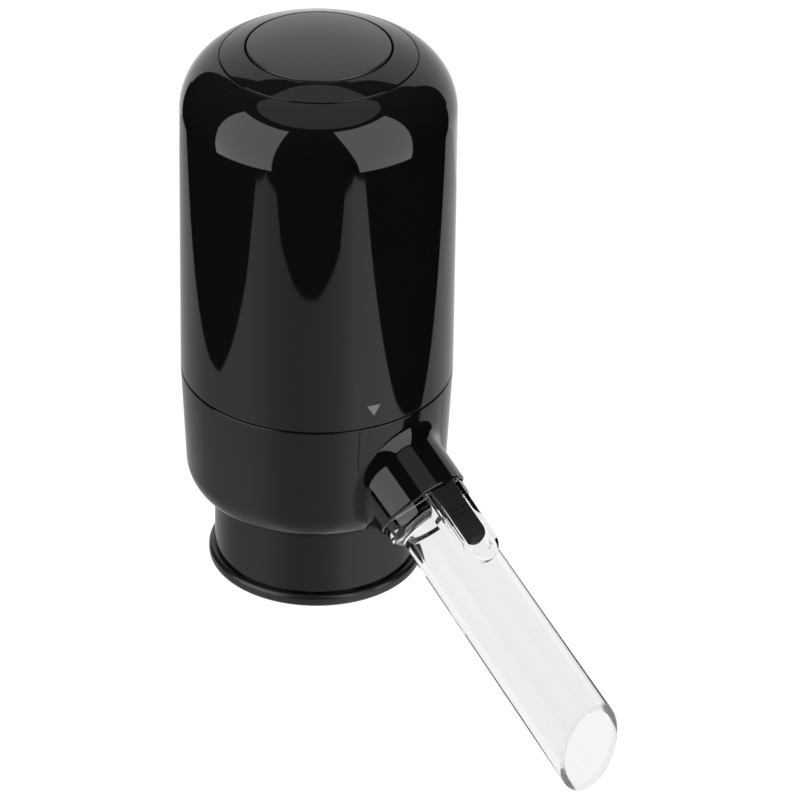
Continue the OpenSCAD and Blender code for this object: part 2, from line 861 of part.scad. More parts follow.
// Metal shell of the charge port with its contact tongue
module charge_port() {
    y = board_y + board_t;
    color(steel) {
        difference() {
            translate([-port_w / 2, y, port_z - port_h / 2]) cube([port_w, port_end - y, port_h]);
            translate([-port_w / 2 + port_wall, y + over, port_z - port_h / 2 + port_wall]) {
                cube([port_w - 2 * port_wall, body_r, port_h - 2 * port_wall]);
            }
        }
        translate([-port_w / 3, y, port_z - port_wall]) {
            cube([port_w * 2 / 3, port_end - y - over, 2 * port_wall]);
        }
    }
}

module switch_board() {
    color(board_green) rod(switch_board_r, switch_board_z, switch_z);
}

module switch_body() {
    color(satin_black) difference() {
        translate([-switch_w / 2, -switch_w / 2, switch_z]) cube([switch_w, switch_w, switch_h]);
        rod(plunger_r + pin_gap, plunger_top - plunger_len - button_travel - run_gap, plunger_top);
    }
}

module switch_plunger() {
    color(milky) rod(plunger_r, plunger_top - plunger_len, plunger_top);
}

// Air pump: cover, valve plate, diaphragm and frame, clamped by three long screws
module pump_screw_holes() {
    at_pump() around(pump_screw_angles, pump_screw_ring) {
        rod(screw_hole_r, pump_z - over, frame_top - frame_plate_t);
    }
}

module air_hose() {
    low = plate_top + channel_h + seat;
    color(milky) at_pump() pipe(air_hose_r, air_nipple_r + seat / 2, low, pump_z - seat);
}

module pump_cover() {
    color(satin_black) difference() {
        union() {
            at_pump() rod(pump_r, pump_z, valve_z);
            at_pump() rod(air_nipple_r, pump_z - air_nipple_h, valve_z);
        }
        at_pump() rod(air_bore_d / 3, pump_z - air_nipple_h - over, valve_z + over);
        at_pump() rod(pump_r - cover_rim, pump_z + cover_t / 2, valve_z + over);
        pump_screw_holes();
    }
}

module valve_plate() {
    color(milky) difference() {
        at_pump() rod(pump_r, valve_z, diaphragm_z);
        at_pump() for (a = cup_angles) rotate(a) {
            for (side = [-1, 1]) translate([pump_cup_ring + side * 2 * valve_hole_r, 0, 0]) {
                rod(valve_hole_r, valve_z - over, diaphragm_z + over);
            }
        }
        pump_screw_holes();
    }
}

module diaphragm() {
    skin = 0.7;
    color(soft_black) difference() {
        union() {
            at_pump() rod(pump_r, diaphragm_z, frame_z);
            at_pump() around(cup_angles, pump_cup_ring) {
                rod(pump_cup_r, frame_z - eps, frame_z + pump_cup_h);
            }
        }
        at_pump() around(cup_angles, pump_cup_ring) {
            rod(pump_cup_r - skin, diaphragm_z - over, frame_z + pump_cup_h - skin);
        }
        pump_screw_holes();
    }
}

module pump_frame() {
    color(satin_black) difference() {
        union() {
            at_pump() pipe(pump_r, pump_r - frame_wall, frame_z, frame_top);
            at_pump() around(pump_screw_angles, pump_screw_ring) {
                rod(screw_d, frame_z, frame_top - frame_plate_t);
            }
            at_pump() rod(pump_r, frame_top - frame_plate_t, frame_top);
        }
        at_pump() rod(crank_r + 2 * run_gap, frame_z, frame_top + over);
        at_pump() rod(wobble_r + 2 * run_gap, wobble_z - wobble_room, frame_top - frame_plate_t);
        pump_screw_holes();
    }
}

module pump_screws() {
    color(steel) at_pump() around(pump_screw_angles, pump_screw_ring) {
        translate([0, 0, pump_z]) screw(frame_z - pump_z + pump_screw_grip);
    }
}

module pump_motor() {
    boss = 1.2;
    color(steel) difference() {
        union() {
            at_pump() rod(motor_r, frame_top, frame_top + motor_len - boss);
            at_pump() rod(motor_r / 3, frame_top, frame_top + motor_len);
        }
        at_pump() rod(shaft_r + pin_gap, frame_top - over, frame_top + motor_len - boss);
    }
}

module motor_sleeve() {
    low = frame_top + sleeve_lift;
    color(soft_black) at_pump() pipe(pump_r, motor_r + sleeve_gap / 2, low, low + sleeve_h);
}

// Motor shaft with its crank, whose slanted pin carries the wobble plate
module crank_shaft() {
    color(steel) {
        at_pump() rod(shaft_r, crank_z, frame_top + motor_len / 2);
        at_pump() rod(crank_r, crank_z, crank_z + crank_h);
        at_wobble() rod(shaft_r, -wobble_t, crank_z - wobble_z + over);
    }
}

module wobble_plate() {
    color(milky) at_wobble() difference() {
        union() {
            rod(wobble_r - wobble_notch, -wobble_t / 2, wobble_t / 2);
            around(cup_angles, pump_cup_ring) rod(wobble_r - pump_cup_ring, -wobble_t / 2, wobble_t / 2);
        }
        rod(shaft_r + pin_gap, -wobble_t, wobble_t);
    }
}

// Push button and its return spring
module button_cap() {
    color(satin_black) rotate_extrude() {
        difference() {
            intersection() {
                translate([0, dome_z]) circle(r = dome_r, $fn = 360);
                translate([0, carrier_top]) square([button_r, dome_r]);
            }
            intersection() {
                translate([0, dome_z]) circle(r = dome_r - button_skin, $fn = 360);
                translate([0, carrier_top - over]) square([button_r - button_skin, dome_r]);
            }
        }
    }
}

module button_carrier() {
    color(satin_black) {
        rod(carrier_r, carrier_z, carrier_top);
        pipe(carrier_rim_r, button_r - 2 * button_skin, carrier_top - eps, carrier_top + carrier_rim);
        rod(stem_r, carrier_z - stem_len, carrier_z + eps);
    }
}

// Coil of round wire, one unbroken tube swept along a helix
coil_steps = 8;
coil_sides = 6;
coil_rise = spring_top - spring_z - spring_wire;
function coil_angle(i) = 360 * i / coil_steps;
function coil_height(i, n) = spring_z + spring_wire / 2 + coil_rise * i / n;
function coil_point(i, n, j) =
    let (a = coil_angle(i), b = 360 * j / coil_sides, r = spring_r + spring_wire / 2 * cos(b))
    [r * cos(a), r * sin(a), coil_height(i, n) + spring_wire / 2 * sin(b)];
coil_gap = coil_rise / spring_turns - spring_wire;
echo(coil_gap = coil_gap);

module button_spring() {
    n = spring_turns * coil_steps;
    s = coil_sides;
    points = [for (i = [0 : n]) for (j = [0 : s - 1]) coil_point(i, n, j)];
    sides = [for (i = [0 : n - 1]) for (j = [0 : s - 1]) let (k = (j + 1) % s)
        each [[i * s + j, (i + 1) * s + j, (i + 1) * s + k], [i * s + j, (i + 1) * s + k, i * s + k]]];
    first = [for (j = [1 : s - 2]) [0, j, j + 1]];
    last = [for (j = [1 : s - 2]) [n * s, n * s + j + 1, n * s + j]];
    color(steel) polyhedron(points, concat(sides, first, last));
}

// Spout: collar and plug, tapered tube cut upright at the tip, and the boss with the lock's pocket
module spout_form() {
    edge = 2;
    low = seat_s + run_gap;
    at_spout() {
        rod(stub_r, stub_end_s, seat_s + over);
        rotate_extrude() {
            translate([0, low]) square([spout_collar_r, collar_end_s - edge - low]);
            translate([0, low]) square([spout_collar_r - edge, collar_end_s - low]);
            translate([spout_collar_r - edge, collar_end_s - edge]) circle(r = edge);
        }
        translate([0, 0, seat_s + over]) {
            cylinder(r1 = tube_d / 2, r2 = tip_d / 2, h = tube_end_s - seat_s - over);
        }
    }
}

// Straight bar along the spout with a round end
module tongue_bar(w, end_s, y0, y1) {
    translate([-w / 2, y0, boss_start_s]) cube([w, y1 - y0, end_s - w / 2 - boss_start_s]);
    translate([0, y1, end_s - w / 2]) rotate([90, 0, 0]) cylinder(d = w, h = y1 - y0);
}

module lock_pocket() {
    grown = slider_w + 2 * rail_w + 2 * slider_side;
    tongue_bar(pocket_w, pocket_end_s, pocket_floor, 2 * boss_top);
    tongue_bar(grown, pocket_end_s - 2 * pocket_spare, pocket_floor, slider_low + rail_t + slider_side);
    translate([-grown / 2, pocket_floor, 0]) cube([grown, 2 * rail_t + slider_side, boss_start_s + over]);
    translate([-pocket_w / 2, pocket_floor, 0]) cube([pocket_w, boss_top, boss_start_s + over]);
}

module spout_tube() {
    color(clear) difference() {
        union() {
            spout_form();
            at_spout() difference() {
                tongue_bar(boss_w, boss_end_s, 0, boss_top);
                rod(2 * boss_top, -socket_reach, socket_reach + run_gap);
            }
        }
        at_spout() {
            rod(feed_d / 2, stub_end_s - over, feed_end_s + over);
            translate([0, 0, feed_end_s]) {
                bore = tube_end_s - feed_end_s + over;
                cylinder(r1 = tube_d / 2 - tube_wall, r2 = tip_d / 2 - tube_wall, h = bore);
            }
            lock_pocket();
            rotate_extrude() translate([stub_r, stub_ring_s]) circle(r = stub_ring_t + seat / 2);
        }
        translate([-2 * tip_d, -spout_reach - 4 * tip_d, -spout_reach]) {
            cube([4 * tip_d, 4 * tip_d, 2 * spout_reach]);
        }
    }
}

module spout_ring() {
    color(soft_black) at_spout() rotate_extrude() intersection() {
        translate([stub_r, stub_ring_s]) circle(r = stub_ring_t);
        translate([0, stub_ring_s - stub_ring_t]) square([stub_r + pin_gap / 2, 2 * stub_ring_t]);
    }
}

// Sliding lock: plate with side rails, a round free end, thumb ridges and a tongue towards the socket
module spout_lock() {
    ridge = 0.7;
    ridge_share = 0.35;
    ridge_s = slider_start_s + slider_len * ridge_share;
    tongue_w = 4.4;
    tongue_len = slider_travel - run_gap;
    color(soft_black) at_spout() {
        translate([-slider_w / 2, slider_low, slider_start_s]) {
            cube([slider_w, slider_t, slider_end_s - slider_w / 2 - slider_start_s]);
        }
        translate([0, slider_top, slider_end_s - slider_w / 2]) rotate([90, 0, 0]) {
            cylinder(d = slider_w, h = slider_t);
        }
        translate([-slider_w / 2 - rail_w, slider_low, slider_start_s]) {
            cube([slider_w + 2 * rail_w, rail_t, slider_end_s - slider_w - slider_start_s]);
        }
        translate([-tongue_w / 2, slider_low, slider_start_s - tongue_len]) {
            cube([tongue_w, rail_t, tongue_len + eps]);
        }
        for (i = [0, 1]) translate([-slider_w / 2, slider_top - eps, ridge_s + 2 * i * ridge]) {
            cube([slider_w, ridge / 2, ridge]);
        }
    }
}

lower_housing();
spout_block();
neck_collar();
lip_ring();
bottle_seal();
mouth_gasket();
collar_nut();
wine_manifold();
wine_elbow();
air_bridge();
air_cup_ring();
twist_ring();
twist_ring_screws();
manifold_screws();
upper_housing();
top_ring();
index_mark();
base_plate();
base_plate_screws();
chassis();
chassis_screws();
battery_cell();
control_board();
board_screws();
charge_port();
switch_board();
switch_body();
air_hose();
pump_cover();
valve_plate();
diaphragm();
pump_frame();
pump_screws();
pump_motor();
motor_sleeve();
button_cap();
button_carrier();
button_spring();
switch_plunger();
crank_shaft();
wobble_plate();
spout_tube();
spout_ring();
spout_lock();
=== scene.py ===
"""Electric wine aerator: smooth shells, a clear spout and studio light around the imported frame."""
import json
import logging
import math
from dataclasses import dataclass
from enum import Enum
from functools import cache
from typing import Any, Iterable, Sequence

import bmesh
import bpy
from mathutils import Matrix, Vector


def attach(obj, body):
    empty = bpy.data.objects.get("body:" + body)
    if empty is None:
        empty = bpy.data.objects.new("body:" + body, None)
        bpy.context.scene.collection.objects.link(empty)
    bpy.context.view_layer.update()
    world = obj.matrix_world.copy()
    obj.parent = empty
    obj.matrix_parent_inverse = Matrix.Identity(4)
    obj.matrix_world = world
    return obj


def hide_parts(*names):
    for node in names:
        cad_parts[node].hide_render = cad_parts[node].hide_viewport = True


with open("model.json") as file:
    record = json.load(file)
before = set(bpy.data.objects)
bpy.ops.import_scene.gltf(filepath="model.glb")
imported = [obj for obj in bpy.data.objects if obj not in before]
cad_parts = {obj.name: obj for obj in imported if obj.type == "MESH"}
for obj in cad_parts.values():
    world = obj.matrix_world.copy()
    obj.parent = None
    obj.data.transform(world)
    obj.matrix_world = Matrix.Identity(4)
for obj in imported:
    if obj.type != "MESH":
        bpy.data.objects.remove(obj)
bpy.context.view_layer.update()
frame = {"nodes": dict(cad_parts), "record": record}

LOG = logging.getLogger("wine_aerator")

Point = tuple[float, float]
Colour = tuple[float, float, float]
Mesh = bmesh.types.BMesh
Tree = bpy.types.NodeTree
Socket = bpy.types.NodeSocket

MM = 0.001
ROUND_STEPS = 160
ARC_STEP_DEG = 3.0
WELD_MM = 0.0005
SHARP_ANGLE = math.radians(28.0)
CUT_SPARE_MM = 1.0
FLARE_STEPS = 10
HALVINGS = 48
COAT_ROUGHNESS = 0.03
TRACK_GAP = 0.06
NOISE_DETAIL = 4.0
SPECK_RANGE = (0.66, 0.78)
WHITE = (1.0, 1.0, 1.0, 1.0)
BLACK = (0.0, 0.0, 0.0, 1.0)
VIEW_TURN_DEG = 43.0
DOME: Point = (0.0, 84.983)
DOME_R = 54.0


class Body(Enum):
    """Moving bodies of the frame that the pieces ride on."""

    BASE = "base"
    HEAD = "head"
    BUTTON = "button"
    SPOUT = "spout"
    LOCK = "lock"


class Slot(Enum):
    """Material slots of the record."""

    GLOSS_BLACK = "gloss_black"
    SATIN_BLACK = "satin_black"
    BLACK_RUBBER = "black_rubber"
    CLEAR_PLASTIC = "clear_plastic"
    MARK_GREY = "mark_grey"
    SCREW_STEEL = "screw_steel"
    MOTOR_CAN = "motor_can"
    SILICONE = "silicone"
    MILKY_PLASTIC = "milky_plastic"
    CELL_WRAP = "cell_wrap"
    BOARD_GREEN = "board_green"


class Join(Enum):
    """Ways to combine two closed shells."""

    ADD = "UNION"
    CUT = "DIFFERENCE"
    KEEP = "INTERSECT"


class Pattern(Enum):
    """Fine structure that breaks a finish up."""

    NOISE = "noise"
    SPECKS = "specks"
    TRACKS = "tracks"


def arc(centre: Point, radius: float, start: float, stop: float) -> list[Point]:
    """Points of a round stretch of an outline.

    Args:
        centre: Middle of the arc, in millimetres.
        radius: Radius of the arc, in millimetres.
        start: First angle, in degrees from the outline's first axis.
        stop: Last angle, in degrees.

    Returns:
        The points from the first angle to the last, both included.
    """
    steps = max(4, math.ceil(abs(stop - start) / ARC_STEP_DEG))
    angles = [math.radians(start + (stop - start) * i / steps) for i in range(steps + 1)]
    return [(centre[0] + radius * math.cos(a), centre[1] + radius * math.sin(a)) for a in angles]


def rim_round(centre: Point, radius: float, wall_r: float, edge: float, outside: bool) -> list[Point]:
    """Small round where a domed surface meets an upright wall.

    Args:
        centre: Centre of the dome's section.
        radius: Radius of the dome's section.
        wall_r: Radius of the upright wall.
        edge: Radius of the small round.
        outside: True where the wall faces outwards, False where it faces the axis.

    Returns:
        Points from the wall up to the dome, or from the dome down to a wall that faces the axis.
    """
    r = wall_r - edge if outside else wall_r + edge
    z = centre[1] + math.sqrt((radius - edge) ** 2 - (r - centre[0]) ** 2)
    meet = math.degrees(math.atan2(z - centre[1], r - centre[0]))
    if outside:
        return arc((r, z), edge, 0.0, meet)
    return arc((r, z), edge, meet, 180.0)


def dome_stretch(centre: Point, radius: float, first_r: float, last_r: float) -> list[Point]:
    """Points of a domed section between two distances from the axis, both included."""
    angles = [math.degrees(math.acos((r - centre[0]) / radius)) for r in (first_r, last_r)]
    return arc(centre, radius, angles[0], angles[1])


def lathe(outline: Sequence[Point], steps: int = ROUND_STEPS) -> Mesh:
    """Spins a half section about the Z axis into a closed shell.

    Args:
        outline: Radius and height of each corner in order, closed by itself or by the axis.
        steps: Number of steps around the axis.

    Returns:
        A closed mesh in millimetres with its faces outwards.
    """
    mesh = bmesh.new()
    ring = [mesh.verts.new((r, 0.0, z)) for r, z in outline]
    pairs = list(zip(ring, ring[1:]))
    if outline[0][0] > 0.0 or outline[-1][0] > 0.0:
        pairs.append((ring[-1], ring[0]))
    edges = [mesh.edges.new(pair) for pair in pairs]
    bmesh.ops.spin(
        mesh, geom=ring + edges, cent=(0, 0, 0), axis=(0, 0, 1), angle=math.tau, steps=steps, use_merge=True
    )
    bmesh.ops.remove_doubles(mesh, verts=mesh.verts, dist=WELD_MM)
    bmesh.ops.recalc_face_normals(mesh, faces=mesh.faces)
    return mesh


def rod(radius: float, start: float, end: float, steps: int = ROUND_STEPS) -> Mesh:
    """Round bar along the Z axis between two heights."""
    return lathe([(0.0, start), (radius, start), (radius, end), (0.0, end)], steps)


def slab(outline: Sequence[Point], low: float, high: float) -> Mesh:
    """Extrudes a flat outline along Z into a closed block.

    Args:
        outline: X and Y of each corner, counter-clockwise.
        low: Height of the lower face.
        high: Height of the upper face.

    Returns:
        A closed mesh in millimetres.
    """
    mesh = bmesh.new()
    base = mesh.faces.new([mesh.verts.new((x, y, low)) for x, y in outline])
    grown = bmesh.ops.extrude_face_region(mesh, geom=[base], use_keep_orig=True)
    top = [item for item in grown["geom"] if isinstance(item, bmesh.types.BMVert)]
    bmesh.ops.translate(mesh, verts=top, vec=(0, 0, high - low))
    bmesh.ops.recalc_face_normals(mesh, faces=mesh.faces)
    return mesh


def skin(rings: Sequence[Sequence[Sequence[float]]]) -> Mesh:
    """Stretches faces between rings of points, and from the last ring back to the first.

    Args:
        rings: Rings with the same number of points each.

    Returns:
        A closed mesh in millimetres with its faces outwards.
    """
    mesh = bmesh.new()
    corners = [[mesh.verts.new(point) for point in ring] for ring in rings]
    for near, far in zip(corners, corners[1:] + corners[:1]):
        for i in range(len(near)):
            mesh.faces.new((near[i - 1], near[i], far[i], far[i - 1]))
    bmesh.ops.recalc_face_normals(mesh, faces=mesh.faces)
    return mesh


def block(low: Sequence[float], high: Sequence[float]) -> Mesh:
    """Closed box between two corners, in millimetres."""
    mesh = bmesh.new()
    size = [b - a for a, b in zip(low, high)]
    middle = [(a + b) / 2.0 for a, b in zip(low, high)]
    place = Matrix.Translation(middle) @ Matrix.Diagonal((*size, 1.0))
    bmesh.ops.create_cube(mesh, size=1.0, matrix=place)
    return mesh


def round_rectangle(width: float, height: float, radius: float) -> list[Point]:
    """Outline of a rectangle with round corners, centred and counter-clockwise."""
    x = width / 2.0 - radius
    y = height / 2.0 - radius
    corners = ((x, y, 0.0), (-x, y, 90.0), (-x, -y, 180.0), (x, -y, 270.0))
    return [p for cx, cy, start in corners for p in arc((cx, cy), radius, start, start + 90.0)]


def tongue_outline(width: float, start: float, end: float) -> list[Point]:
    """Outline of a strip with a square start and a round end, along the second axis."""
    half = width / 2.0
    return [(-half, start), (half, start)] + arc((0.0, end - half), half, 0.0, 180.0)


def soften(
    mesh: Mesh, edges: Iterable[bmesh.types.BMEdge], width: float, segments: int = 3
) -> None:
    """Bevels the given edges round.

    Args:
        mesh: Mesh to change.
        edges: Edges to bevel.
        width: Width of the bevel, in millimetres.
        segments: Number of faces across the bevel.
    """
    bmesh.ops.bevel(
        mesh, geom=list(edges), offset=width, offset_type="OFFSET", segments=segments, profile=0.5,
        affect="EDGES", material=-1, clamp_overlap=True,
    )


def edges_at(mesh: Mesh, axis: int, value: float) -> list[bmesh.types.BMEdge]:
    """Creased edges that lie in the plane where one coordinate has a given value."""
    return [
        edge
        for edge in mesh.edges
        if all(abs(v.co[axis] - value) < WELD_MM for v in edge.verts)
        and len(edge.link_faces) == 2
        and edge.calc_face_angle() > SHARP_ANGLE
    ]


def to_object(mesh: Mesh, name: str) -> bpy.types.Object:
    """Frees a mesh into an object of the scene, as it stands."""
    data = bpy.data.meshes.new(name)
    mesh.to_mesh(data)
    mesh.free()
    obj = bpy.data.objects.new(name, data)
    bpy.context.scene.collection.objects.link(obj)
    return obj


def combine(base: Mesh, how: Join, *tools: Mesh) -> Mesh:
    """Adds, cuts or intersects closed shells, one after another.

    Args:
        base: Shell to change, freed here.
        how: Kind of combination.
        tools: Shells to change it by, freed here.

    Returns:
        The combined shell.
    """
    for tool in tools:
        first = to_object(base, "combine_base")
        second = to_object(tool, "combine_tool")
        modifier = first.modifiers.new("combine", "BOOLEAN")
        modifier.operation = how.value
        modifier.solver = "EXACT"
        modifier.object = second
        bpy.context.view_layer.update()
        depsgraph = bpy.context.evaluated_depsgraph_get()
        data = bpy.data.meshes.new_from_object(first.evaluated_get(depsgraph))
        base = bmesh.new()
        base.from_mesh(data)
        for used in (first.data, second.data, data):
            bpy.data.meshes.remove(used)
        bmesh.ops.remove_doubles(base, verts=base.verts, dist=WELD_MM)
        bmesh.ops.dissolve_degenerate(base, edges=base.edges, dist=WELD_MM)
    return base


def turned(mesh: Mesh, place: Matrix) -> Mesh:
    """Moves a mesh by a matrix in millimetres and gives it back."""
    bmesh.ops.transform(mesh, matrix=place, verts=mesh.verts)
    return mesh


def turn_about(axis: str, degrees: float) -> Matrix:
    """Matrix of a turn about one of the axes."""
    return Matrix.Rotation(math.radians(degrees), 4, axis)


def level_at(z: float) -> Matrix:
    """Matrix that lays the Z axis level, towards the front, at a height in millimetres."""
    return Matrix.Translation((0, 0, z)) @ turn_about("X", 90.0)


def node_tree(owner: bpy.types.Material | bpy.types.World) -> Tree:
    """Turns the nodes of a material or a world on and gives their tree."""
    owner.use_nodes = True
    return owner.node_tree


def feed(tree: Tree, node: bpy.types.Node, inputs: dict[str | int, Any]) -> None:
    """Sets or links inputs of a node.

    Args:
        tree: Node tree that holds the node.
        node: Node to change.
        inputs: Value of each input, or the socket that feeds it, by the input's name or place.
    """
    for key, value in inputs.items():
        if isinstance(value, Socket):
            tree.links.new(value, node.inputs[key])
        else:
            node.inputs[key].default_value = value


def add_node(tree: Tree, kind: str, inputs: dict[str | int, Any] | None = None) -> bpy.types.Node:
    """Adds a shader node of a kind, and sets or links its inputs."""
    node = tree.nodes.new("ShaderNode" + kind)
    feed(tree, node, inputs or {})
    return node


def add_math(tree: Tree, operation: str, first: Socket, second: Socket | float) -> Socket:
    """Adds a node that works one value out of two, and gives the result."""
    node = add_node(tree, "Math", {0: first, 1: second})
    node.operation = operation
    return node.outputs[0]


def mix_surface(tree: Tree, own: dict[str | int, Any], other: Socket, share: Socket) -> None:
    """Mixes a material's own shader with another one.

    Args:
        tree: Node tree of the material.
        own: Inputs of its own shader.
        other: Output of the other shader.
        share: Share of the other shader, from 0 to 1.
    """
    shader = tree.nodes["Principled BSDF"]
    feed(tree, shader, own)
    mix = add_node(tree, "MixShader", {"Fac": share, 1: shader.outputs["BSDF"], 2: other})
    feed(tree, tree.nodes["Material Output"], {"Surface": mix.outputs["Shader"]})


@dataclass(frozen=True)
class Finish:
    """Surface finish: the shader's own values and the fine structure that breaks it up.

    Scales are in cycles for each metre, and depths in metres.
    """

    name: str
    dark: Colour
    light: Colour
    roughness: Point
    scale: float
    depth: float = 0.0
    pattern: Pattern = Pattern.NOISE
    metallic: float = 0.0
    specular: float = 0.5
    coat: float = 0.0
    transmission: float = 0.0
    ior: float = 1.5
    stretch: tuple[float, float, float] = (1.0, 1.0, 1.0)

    @cache
    def make(self) -> bpy.types.Material:
        """Builds the material, on its first use only.

        Returns:
            A material whose colour, roughness and bump come from one pattern on Object coordinates.
        """
        material = bpy.data.materials.new(self.name)
        tree = node_tree(material)
        value = self.pattern_value(tree)
        ramp = add_node(tree, "ValToRGB", {"Fac": value})
        for stop, colour in zip(ramp.color_ramp.elements, (self.dark, self.light)):
            stop.color = (*colour, 1.0)
        low, high = self.roughness
        spread = add_node(tree, "MapRange", {"Value": value, "To Min": low, "To Max": high})
        inputs = {
            "Base Color": ramp.outputs["Color"],
            "Roughness": spread.outputs["Result"],
            "Metallic": self.metallic,
            "Specular IOR Level": self.specular,
            "IOR": self.ior,
            "Coat Weight": self.coat,
            "Coat Roughness": COAT_ROUGHNESS,
            "Transmission Weight": self.transmission,
        }
        if self.depth > 0.0:
            bump = add_node(tree, "Bump", {"Distance": self.depth, "Height": value})
            inputs["Normal"] = bump.outputs["Normal"]
        feed(tree, tree.nodes["Principled BSDF"], inputs)
        return material

    def pattern_value(self, tree: Tree) -> Socket:
        """Adds the nodes of the fine structure.

        Args:
            tree: Node tree of the material.

        Returns:
            The socket that holds the pattern, from 0 to 1.
        """
        place = add_node(tree, "TexCoord").outputs["Object"]
        mapping = add_node(tree, "Mapping", {"Vector": place, "Scale": self.stretch})
        inputs = {"Vector": mapping.outputs["Vector"], "Scale": self.scale}
        if self.pattern is Pattern.TRACKS:
            return add_node(tree, "TexBrick", {**inputs, "Mortar Size": TRACK_GAP}).outputs["Fac"]
        noise = add_node(tree, "TexNoise", {**inputs, "Detail": NOISE_DETAIL}).outputs["Fac"]
        if self.pattern is Pattern.NOISE:
            return noise
        low, high = SPECK_RANGE
        specks = add_node(tree, "MapRange", {"Value": noise, "From Min": low, "From Max": high})
        return specks.outputs["Result"]


SLOT_FINISH = {
    Slot.GLOSS_BLACK: Finish(
        "piano_black", (0.0042, 0.0042, 0.0045), (0.0075, 0.0075, 0.0080), (0.035, 0.075), 620.0,
        pattern=Pattern.SPECKS, specular=0.32,
    ),
    Slot.SATIN_BLACK: Finish(
        "satin_black", (0.0090, 0.0090, 0.0095), (0.0150, 0.0150, 0.0155), (0.34, 0.42), 4200.0, 4e-6
    ),
    Slot.BLACK_RUBBER: Finish(
        "rubber_black", (0.0050, 0.0050, 0.0052), (0.0100, 0.0100, 0.0104), (0.22, 0.36), 2600.0, 5e-6,
        specular=0.4,
    ),
    Slot.CLEAR_PLASTIC: Finish(
        "clear_tube", (0.868, 0.868, 0.869), (0.967, 0.967, 0.968), (0.0, 0.012), 240.0,
        transmission=1.0, ior=1.14, stretch=(1.0, 0.05, 0.05),
    ),
    Slot.MARK_GREY: Finish(
        "print_grey", (0.150, 0.152, 0.155), (0.190, 0.192, 0.195), (0.42, 0.55), 3500.0, 2e-6
    ),
    Slot.SCREW_STEEL: Finish(
        "screw_steel", (0.36, 0.37, 0.38), (0.56, 0.57, 0.58), (0.22, 0.38), 1800.0, 2e-6,
        metallic=1.0, stretch=(1.0, 1.0, 0.1),
    ),
    Slot.MOTOR_CAN: Finish(
        "motor_can", (0.42, 0.43, 0.44), (0.60, 0.61, 0.63), (0.20, 0.34), 1500.0, 2e-6,
        metallic=1.0, stretch=(1.0, 1.0, 0.05),
    ),
    Slot.SILICONE: Finish(
        "silicone", (0.62, 0.62, 0.58), (0.76, 0.76, 0.72), (0.40, 0.52), 1400.0, 6e-6,
        transmission=0.25, ior=1.41,
    ),
    Slot.MILKY_PLASTIC: Finish(
        "milky_plastic", (0.60, 0.60, 0.56), (0.74, 0.74, 0.70), (0.34, 0.46), 2400.0, 4e-6
    ),
    Slot.CELL_WRAP: Finish(
        "cell_wrap", (0.022, 0.115, 0.300), (0.035, 0.165, 0.420), (0.16, 0.28), 420.0, 3e-6,
        coat=0.3, stretch=(1.0, 1.0, 0.2),
    ),
    Slot.BOARD_GREEN: Finish(
        "board_green", (0.012, 0.105, 0.040), (0.035, 0.190, 0.075), (0.30, 0.42), 420.0, 3e-6,
        pattern=Pattern.TRACKS,
    ),
}
LATCH_BLACK = Finish(
    "latch_black", (0.0045, 0.0045, 0.0048), (0.0080, 0.0080, 0.0084), (0.40, 0.50), 5200.0, 5e-6,
    specular=0.16,
)
CLEAR_ROOT = Finish(
    "clear_root", (0.952, 0.952, 0.953), (0.967, 0.967, 0.968), (0.0, 0.010), 60.0,
    transmission=1.0, ior=1.45,
)
CLEAR_RIM = Finish(
    "clear_rim", (0.862, 0.862, 0.863), (0.902, 0.902, 0.903), (0.30, 0.42), 400.0,
    transmission=0.75, ior=1.12,
)


def place_piece(
    mesh: Mesh, name: str, body: Body, slot: Slot, node: str, finish: Finish | None = None
) -> bpy.types.Object:
    """Turns a mesh in millimetres into a dressed piece that rides on its body.

    Args:
        mesh: Closed mesh, freed here.
        name: Name of the piece.
        body: Body that it moves with.
        slot: Material slot of the record.
        node: Node of the frame that it stands for.
        finish: Finish where it differs from the slot's own.

    Returns:
        The piece.
    """
    bmesh.ops.scale(mesh, vec=(MM, MM, MM), verts=mesh.verts)
    piece = to_object(mesh, name)
    piece.data.shade_smooth()
    piece.data.set_sharp_from_angle(angle=SHARP_ANGLE)
    piece.data.materials.append((finish or SLOT_FINISH[slot]).make())
    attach(piece, body.value)
    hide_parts(node)
    LOG.info("%s: %d faces on %s", name, len(piece.data.polygons), body.value)
    return piece


